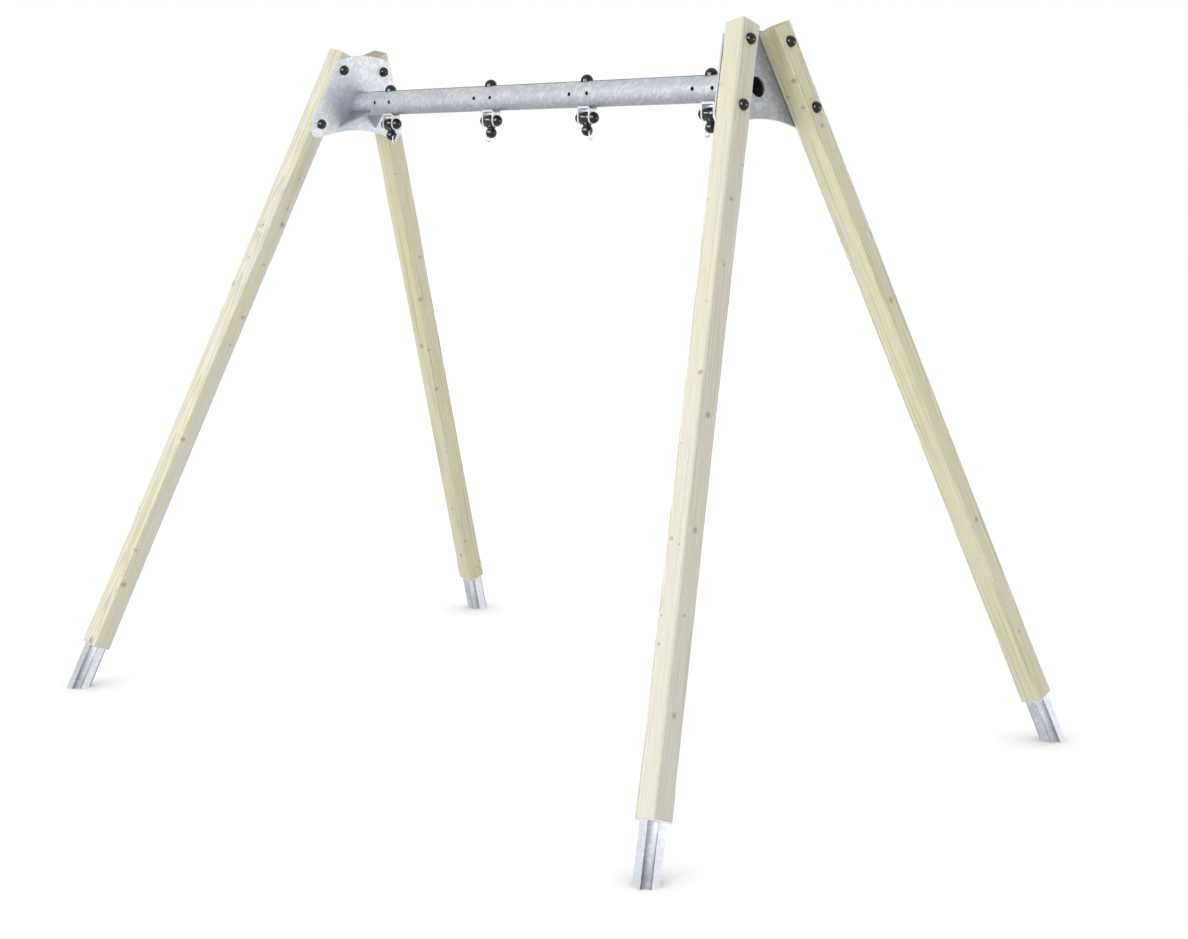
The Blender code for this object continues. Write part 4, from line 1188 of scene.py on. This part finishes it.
def grip(thickness):
    """Shank length through a thickness, with a gap at each end of it, into the cap's bore."""
    return thickness + 2 * CLEARANCE + NUT_DEPTH - NUT_CLEARANCE


bolt_master = make_domed_bolt(POST_DOME_RADIUS, grip(POST_SIDE + PLATE_THICKNESS + CLEARANCE))
cap_master = make_domed_cap(POST_DOME_RADIUS)
outer_face = POST_SIDE / 2 + CLEARANCE
inner_face = -POST_SIDE / 2 - PLATE_THICKNESS - 2 * CLEARANCE
for corner, side, way in CORNERS:
    for level, drop in BOLT_DROPS.items():
        label = corner + "_" + level
        outside = leg_axes(side, way) @ shift(x=outer_face, z=-drop)
        inside = leg_axes(side, way) @ shift(x=inner_face, z=-drop) @ HALF_TURN
        bolt = another(bolt_master, "domed_bolt_" + label, outside)
        cap = another(cap_master, "domed_cap_" + label, inside)
        mount(bolt, "frame", "post_bolt_" + label)
        mount(cap, "frame", "post_cap_" + label)
print("dome:", len(cap_master.data.polygons), "faces")
discard(bolt_master, cap_master)

# %% [markdown]
# ## The hanger brackets
# Each hanger hangs from a clevis: a flat bar bent down on both sides of a web that is hollowed to the
# beam. Bending bar in a viewport is awkward, so it is carved. A block has its lower ends rounded, its
# top hollowed by the beam's own radius, and the two edges of that hollow bevelled to the radius of
# the bend. A second block, hollowed by the web's underside, then cuts out the space between the ears.

# %% Hanger brackets
BRACKET_WIDTH = 0.073
BRACKET_DEPTH = 0.045
BRACKET_STEEL = 0.008
BRACKET_BEND = 0.009
BRACKET_EDGE = 0.0009
EAR_DROP = 0.1016               # centre of an ear's round end below the beam's axis
PIVOT_DROP = 0.0962             # hanger's axle below the beam's axis
AXLE_HOLE_RADIUS = BOLT_RADIUS + 0.0004
SADDLE = BEAM_RADIUS + CLEARANCE    # radius of what is fitted to the beam


def along_ear_end(edge):
    """Whether an edge of the block runs along X at the bottom."""
    middle = -(EAR_DROP + BRACKET_DEPTH / 2) / 2
    return all(v.co.z < middle for v in edge.verts) and extent(edge, "x") > BRACKET_WIDTH / 2


def on_hollow_end(edge):
    """Whether an edge of the hollow lies in one of the block's two sides."""
    in_side = all(abs(abs(v.co.x) - BRACKET_WIDTH / 2) < HAIR for v in edge.verts)
    on_hollow = all(abs(math.hypot(v.co.y, v.co.z) - SADDLE) < 20 * HAIR for v in edge.verts)
    return in_side and on_hollow and extent(edge, "x") < HAIR


def make_bracket():
    height = EAR_DROP + BRACKET_DEPTH / 2
    bracket = block((BRACKET_WIDTH, BRACKET_DEPTH, height), (0.0, 0.0, -height / 2))
    round_edges(bracket, along_ear_end, BRACKET_DEPTH / 2 - HAIR, 20)
    carve(bracket, [bar("X", SADDLE, 2 * BRACKET_WIDTH, sides=BEAM_SIDES)])
    round_edges(bracket, on_hollow_end, BRACKET_BEND, 8)
    room = block((BRACKET_WIDTH - 2 * BRACKET_STEEL, 2 * BRACKET_DEPTH, 0.2), (0.0, 0.0, -0.1))
    carve(room, [bar("X", SADDLE + BRACKET_STEEL, 2 * BRACKET_WIDTH, sides=BEAM_SIDES)])
    pivot = bar("X", AXLE_HOLE_RADIUS, 2 * BRACKET_WIDTH, (0.0, 0.0, -PIVOT_DROP))
    bolt_hole = bar("Z", BOLT_RADIUS + CLEARANCE, 2 * BRACKET_STEEL, (0.0, 0.0, -SADDLE - BRACKET_STEEL / 2))
    carve(bracket, [room, pivot, bolt_hole])
    soften(bracket, BRACKET_EDGE, ZINC)
    return bracket


bracket_master = make_bracket()
print("bracket:", len(bracket_master.data.polygons), "faces")

# %% [markdown]
# ## The hanger bolts
# A bolt goes down through the beam into the bracket's web. Its dome sits on top of a round tube, so
# its skirt is cut to the tube's curve. The dome is turned with a straight skirt, which is carved with
# a bar of the beam's radius, and the shank is joined to it last, so that the carving spares it.

# %% Hanger bolts
SKIRT = 0.010                   # dome's skirt below the beam's top before it is fitted


def make_hanger_bolt():
    skirt = BEAM_RADIUS - SKIRT
    top = BEAM_RADIUS + TOP_DOME_RADIUS
    crown = arc((0.0, BEAM_RADIUS), TOP_DOME_RADIUS, 0.0, math.pi / 2, 20)[:-1]
    bolt = lathe([(0.0, skirt), (TOP_DOME_RADIUS, skirt)] + crown + [(0.0, top)])
    carve(bolt, [bar("X", SADDLE, 4 * TOP_DOME_RADIUS, sides=BEAM_SIDES)])
    soften(bolt, DOME_RIM / 2)
    low = -BEAM_RADIUS - BRACKET_STEEL
    high = BEAM_RADIUS + TOP_DOME_RADIUS / 2
    carve(bolt, [bar("Z", BOLT_RADIUS, high - low, (0.0, 0.0, (high + low) / 2))], "UNION")
    coat(bolt, CAP_PLASTIC)
    return bolt


hanger_bolt_master = make_hanger_bolt()
print("hanger bolt:", len(hanger_bolt_master.data.polygons), "faces")

# %% [markdown]
# ## The swing arms
# The arm is one moulding: a crowned barrel that turns on the axle, a neck, and a ball that carries
# the shackle's pin. Barrel and stem are turned separately and joined. A moulding has no sharp inner
# corners, so the joined body is remeshed to even little squares and smoothed, which melts the joint
# into a fillet. The bore, the pin's hole and the two recesses beside the tongue are cut afterwards
# and stay crisp.

# %% Swing arms
BARREL_RADIUS = 0.0262
BARREL_END_RADIUS = 0.0225
BARREL_EDGE = 0.0015
BARREL_STEPS = 8                # rings from the barrel's middle to each end
NECK_RADIUS = 0.0162
NECK_HEIGHT = 0.0330
NECK_FLARE_RADIUS = 0.0195
NECK_FLARE_HEIGHT = 0.0270
BALL_DROP = 0.0510              # below the axle
BALL_RADIUS = 0.0238
PIN_OFFSET = 0.0200             # shackle's pin beside the ball's centre, towards the seat
PIN_DROP = 0.0068
PIN_RADIUS = 0.0020
PIN_HOLE_RADIUS = PIN_RADIUS + CLEARANCE
SHACKLE_ROD = 0.0025            # radius
SHACKLE_WIDTH = 0.0180          # between the centres of its legs
SHACKLE_DROP = 0.0345           # from the pin to the bottom of the bow
EYE_RADIUS = 0.0050
EYE_ROOM = 0.0005               # round an eye, in its recess
BACK_SWING = math.radians(20.0)
MOULD_GRAIN = 0.0009            # size of the remeshed squares


def recess(side):
    """Room beside the tongue for an eye of the shackle and for its leg, down to its furthest back swing."""
    radius = EYE_RADIUS + EYE_ROOM
    far = 2 * BALL_RADIUS
    pin_z = -BALL_DROP - PIN_DROP
    round_part = arc((PIN_OFFSET, pin_z), radius, math.pi / 2, math.pi + BACK_SWING, 16)
    x, z = round_part[-1]
    foot = (x - far * math.sin(BACK_SWING), z - far * math.cos(BACK_SWING))
    outline = round_part + [foot, (far, foot[1]), (far, pin_z + radius)]
    tongue = SHACKLE_WIDTH / 2 - SHACKLE_ROD - CLEARANCE
    return sheet_metal([(x, side * tongue, z) for x, z in outline], (0.0, side * far, 0.0))


def make_arm():
    half = BRACKET_WIDTH / 2 - BRACKET_STEEL - CLEARANCE
    crown = []
    for ring in range(-BARREL_STEPS, BARREL_STEPS + 1):
        along = ring / BARREL_STEPS
        radius = BARREL_RADIUS - (BARREL_RADIUS - BARREL_END_RADIUS) * along ** 2
        crown.append((radius, along * (half - BARREL_EDGE)))
    ends = [(0.0, -half), (BARREL_END_RADIUS - BARREL_EDGE, -half)]
    arm = lathe(ends + crown + [(radius, -height) for radius, height in reversed(ends)])
    move(arm, X_FROM_Z)
    leave = math.acos(NECK_RADIUS / BALL_RADIUS)
    ball = arc((0.0, -BALL_DROP), BALL_RADIUS, -math.pi / 2, leave, 24)[1:]
    neck = [(NECK_RADIUS, -NECK_HEIGHT), (NECK_FLARE_RADIUS, -NECK_FLARE_HEIGHT), (NECK_FLARE_RADIUS, 0.0)]
    carve(arm, [lathe([(0.0, -BALL_DROP - BALL_RADIUS)] + ball + neck + [(0.0, 0.0)])], "UNION")
    modify(arm, "REMESH", mode="VOXEL", voxel_size=MOULD_GRAIN)
    modify(arm, "SMOOTH", factor=0.5, iterations=6)
    bore = bar("X", AXLE_HOLE_RADIUS, 4 * half, sides=48)
    pin_hole = bar("Y", PIN_HOLE_RADIUS, 4 * BALL_RADIUS, (PIN_OFFSET, 0.0, -BALL_DROP - PIN_DROP))
    carve(arm, [recess(1), recess(-1), bore, pin_hole])
    coat(arm, ARM_PLASTIC)
    return arm


arm_master = make_arm()
print("swing arm:", len(arm_master.data.polygons), "faces")

# %% [markdown]
# ## The shackles
# A shackle is one bent rod with an eye at each end. A filled circle is extruded down for the first
# leg, spun half a turn for the bow and extruded up for the second leg. Spin turns the other way
# without a window, so its axis points backwards. The eyes are turned discs, drilled with the rod.
# The pin is turned with a rivet head at both ends.

# %% Shackles and pins
EYE_EDGE = 0.0010
SMALL_SIDES = 32
PIN_HEAD_RADIUS = 0.0034
PIN_HEAD_TOP_RADIUS = 0.0024
PIN_HEAD = 0.0014
Y_FROM_Z = Matrix.Rotation(-math.pi / 2, 4, "X")    # lays a piece turned about Z along Y


def make_shackle():
    radius = SHACKLE_WIDTH / 2
    leg = SHACKLE_DROP - SHACKLE_ROD - radius
    bpy.ops.object.select_all(action="DESELECT")
    bpy.ops.mesh.primitive_circle_add(vertices=24, radius=SHACKLE_ROD, fill_type="NGON",
                                      location=(0.0, -radius, 0.0))
    bpy.ops.object.transform_apply(location=True, rotation=True, scale=True)
    bpy.ops.object.mode_set(mode="EDIT")
    bpy.ops.mesh.extrude_region_move(TRANSFORM_OT_translate={"value": (0.0, 0.0, -leg)})
    bpy.ops.mesh.spin(steps=24, angle=math.pi, center=(0.0, 0.0, -leg), axis=(-1.0, 0.0, 0.0))
    bpy.ops.mesh.extrude_region_move(TRANSFORM_OT_translate={"value": (0.0, 0.0, leg)})
    shackle = close_up()
    edge = arc((EYE_RADIUS - EYE_EDGE, SHACKLE_ROD - EYE_EDGE), EYE_EDGE, 0.0, math.pi / 2, 5)
    disc = [(0.0, -SHACKLE_ROD)] + [(r, -h) for r, h in reversed(edge)] + edge + [(0.0, SHACKLE_ROD)]
    eyes = [move(lathe(disc, SMALL_SIDES), shift(y=side) @ Y_FROM_Z) for side in (-radius, radius)]
    carve(shackle, eyes, "UNION")
    carve(shackle, [bar("Y", PIN_HOLE_RADIUS, 4 * SHACKLE_WIDTH)])
    coat(shackle, STAINLESS)
    return shackle


def make_pin():
    seat = SHACKLE_WIDTH / 2 + SHACKLE_ROD + CLEARANCE
    end = seat + PIN_HEAD
    head = [(PIN_RADIUS, seat), (PIN_HEAD_RADIUS, seat), (PIN_HEAD_RADIUS, seat + PIN_HEAD / 3),
            (PIN_HEAD_TOP_RADIUS, end), (0.0, end)]
    pin = lathe([(r, -h) for r, h in reversed(head)] + head, SMALL_SIDES)
    coat(pin, STAINLESS)
    return move(pin, Y_FROM_Z)


shackle_master = make_shackle()
pin_master = make_pin()
print("shackle:", len(shackle_master.data.polygons), "faces")

# %% [markdown]
# ## Hanging the swings
# The four hangers are alike, but the shackle's recess faces the middle of its own seat, so every
# second hanger is turned half round. The bracket, its bolt and its axle belong to the frame. The arm
# and the pin swing with the arm, and the shackle swings again on its pin.

# %% Four hangers
axle_master = make_domed_bolt(EAR_DOME_RADIUS, grip(BRACKET_WIDTH))
axle_cap_master = make_domed_cap(EAR_DOME_RADIUS)
ear = BRACKET_WIDTH / 2 + CLEARANCE
for number, x in HANGERS:
    label = "_" + str(number)
    hanger = shift(x=x, z=BEAM_HEIGHT) @ (Matrix() if number % 2 else HALF_TURN)
    pivot = hanger @ shift(z=-PIVOT_DROP)
    pin_place = pivot @ shift(x=PIN_OFFSET, z=-BALL_DROP - PIN_DROP)
    right_ear = pivot @ shift(x=ear)
    left_ear = pivot @ shift(x=-ear) @ HALF_TURN
    arm_body, shackle_body = "arm" + label, "shackle" + label
    for master, name, place, body, cad_node, slot in (
            (bracket_master, "clevis", hanger, "frame", "hanger_bracket", "galvanised_steel"),
            (hanger_bolt_master, "domed_hanger_bolt", hanger, "frame", "hanger_bolt", "black_cap"),
            (axle_master, "domed_axle", right_ear, "frame", "hanger_axle", "black_cap"),
            (axle_cap_master, "domed_axle_cap", left_ear, "frame", "axle_cap", "black_cap"),
            (arm_master, "swing_arm", pivot, arm_body, "hanger_arm", "black_arm"),
            (pin_master, "rivet_pin", pin_place, arm_body, "shackle_pin", "stainless_rod"),
            (shackle_master, "chain_shackle", pin_place, shackle_body, "shackle", "stainless_rod")):
        mount(another(master, name + label, place), body, cad_node + label)
discard(bracket_master, hanger_bolt_master, axle_master, axle_cap_master, arm_master, pin_master,
        shackle_master)
for piece in [o for o in bpy.data.objects if o.type == "MESH" and o.data.materials]:
    if piece.data.materials[0] in (CAP_PLASTIC, ARM_PLASTIC):
        black_pieces.objects.link(piece)
    if piece.data.materials[0] == ARM_PLASTIC:
        swing_arms.objects.link(piece)
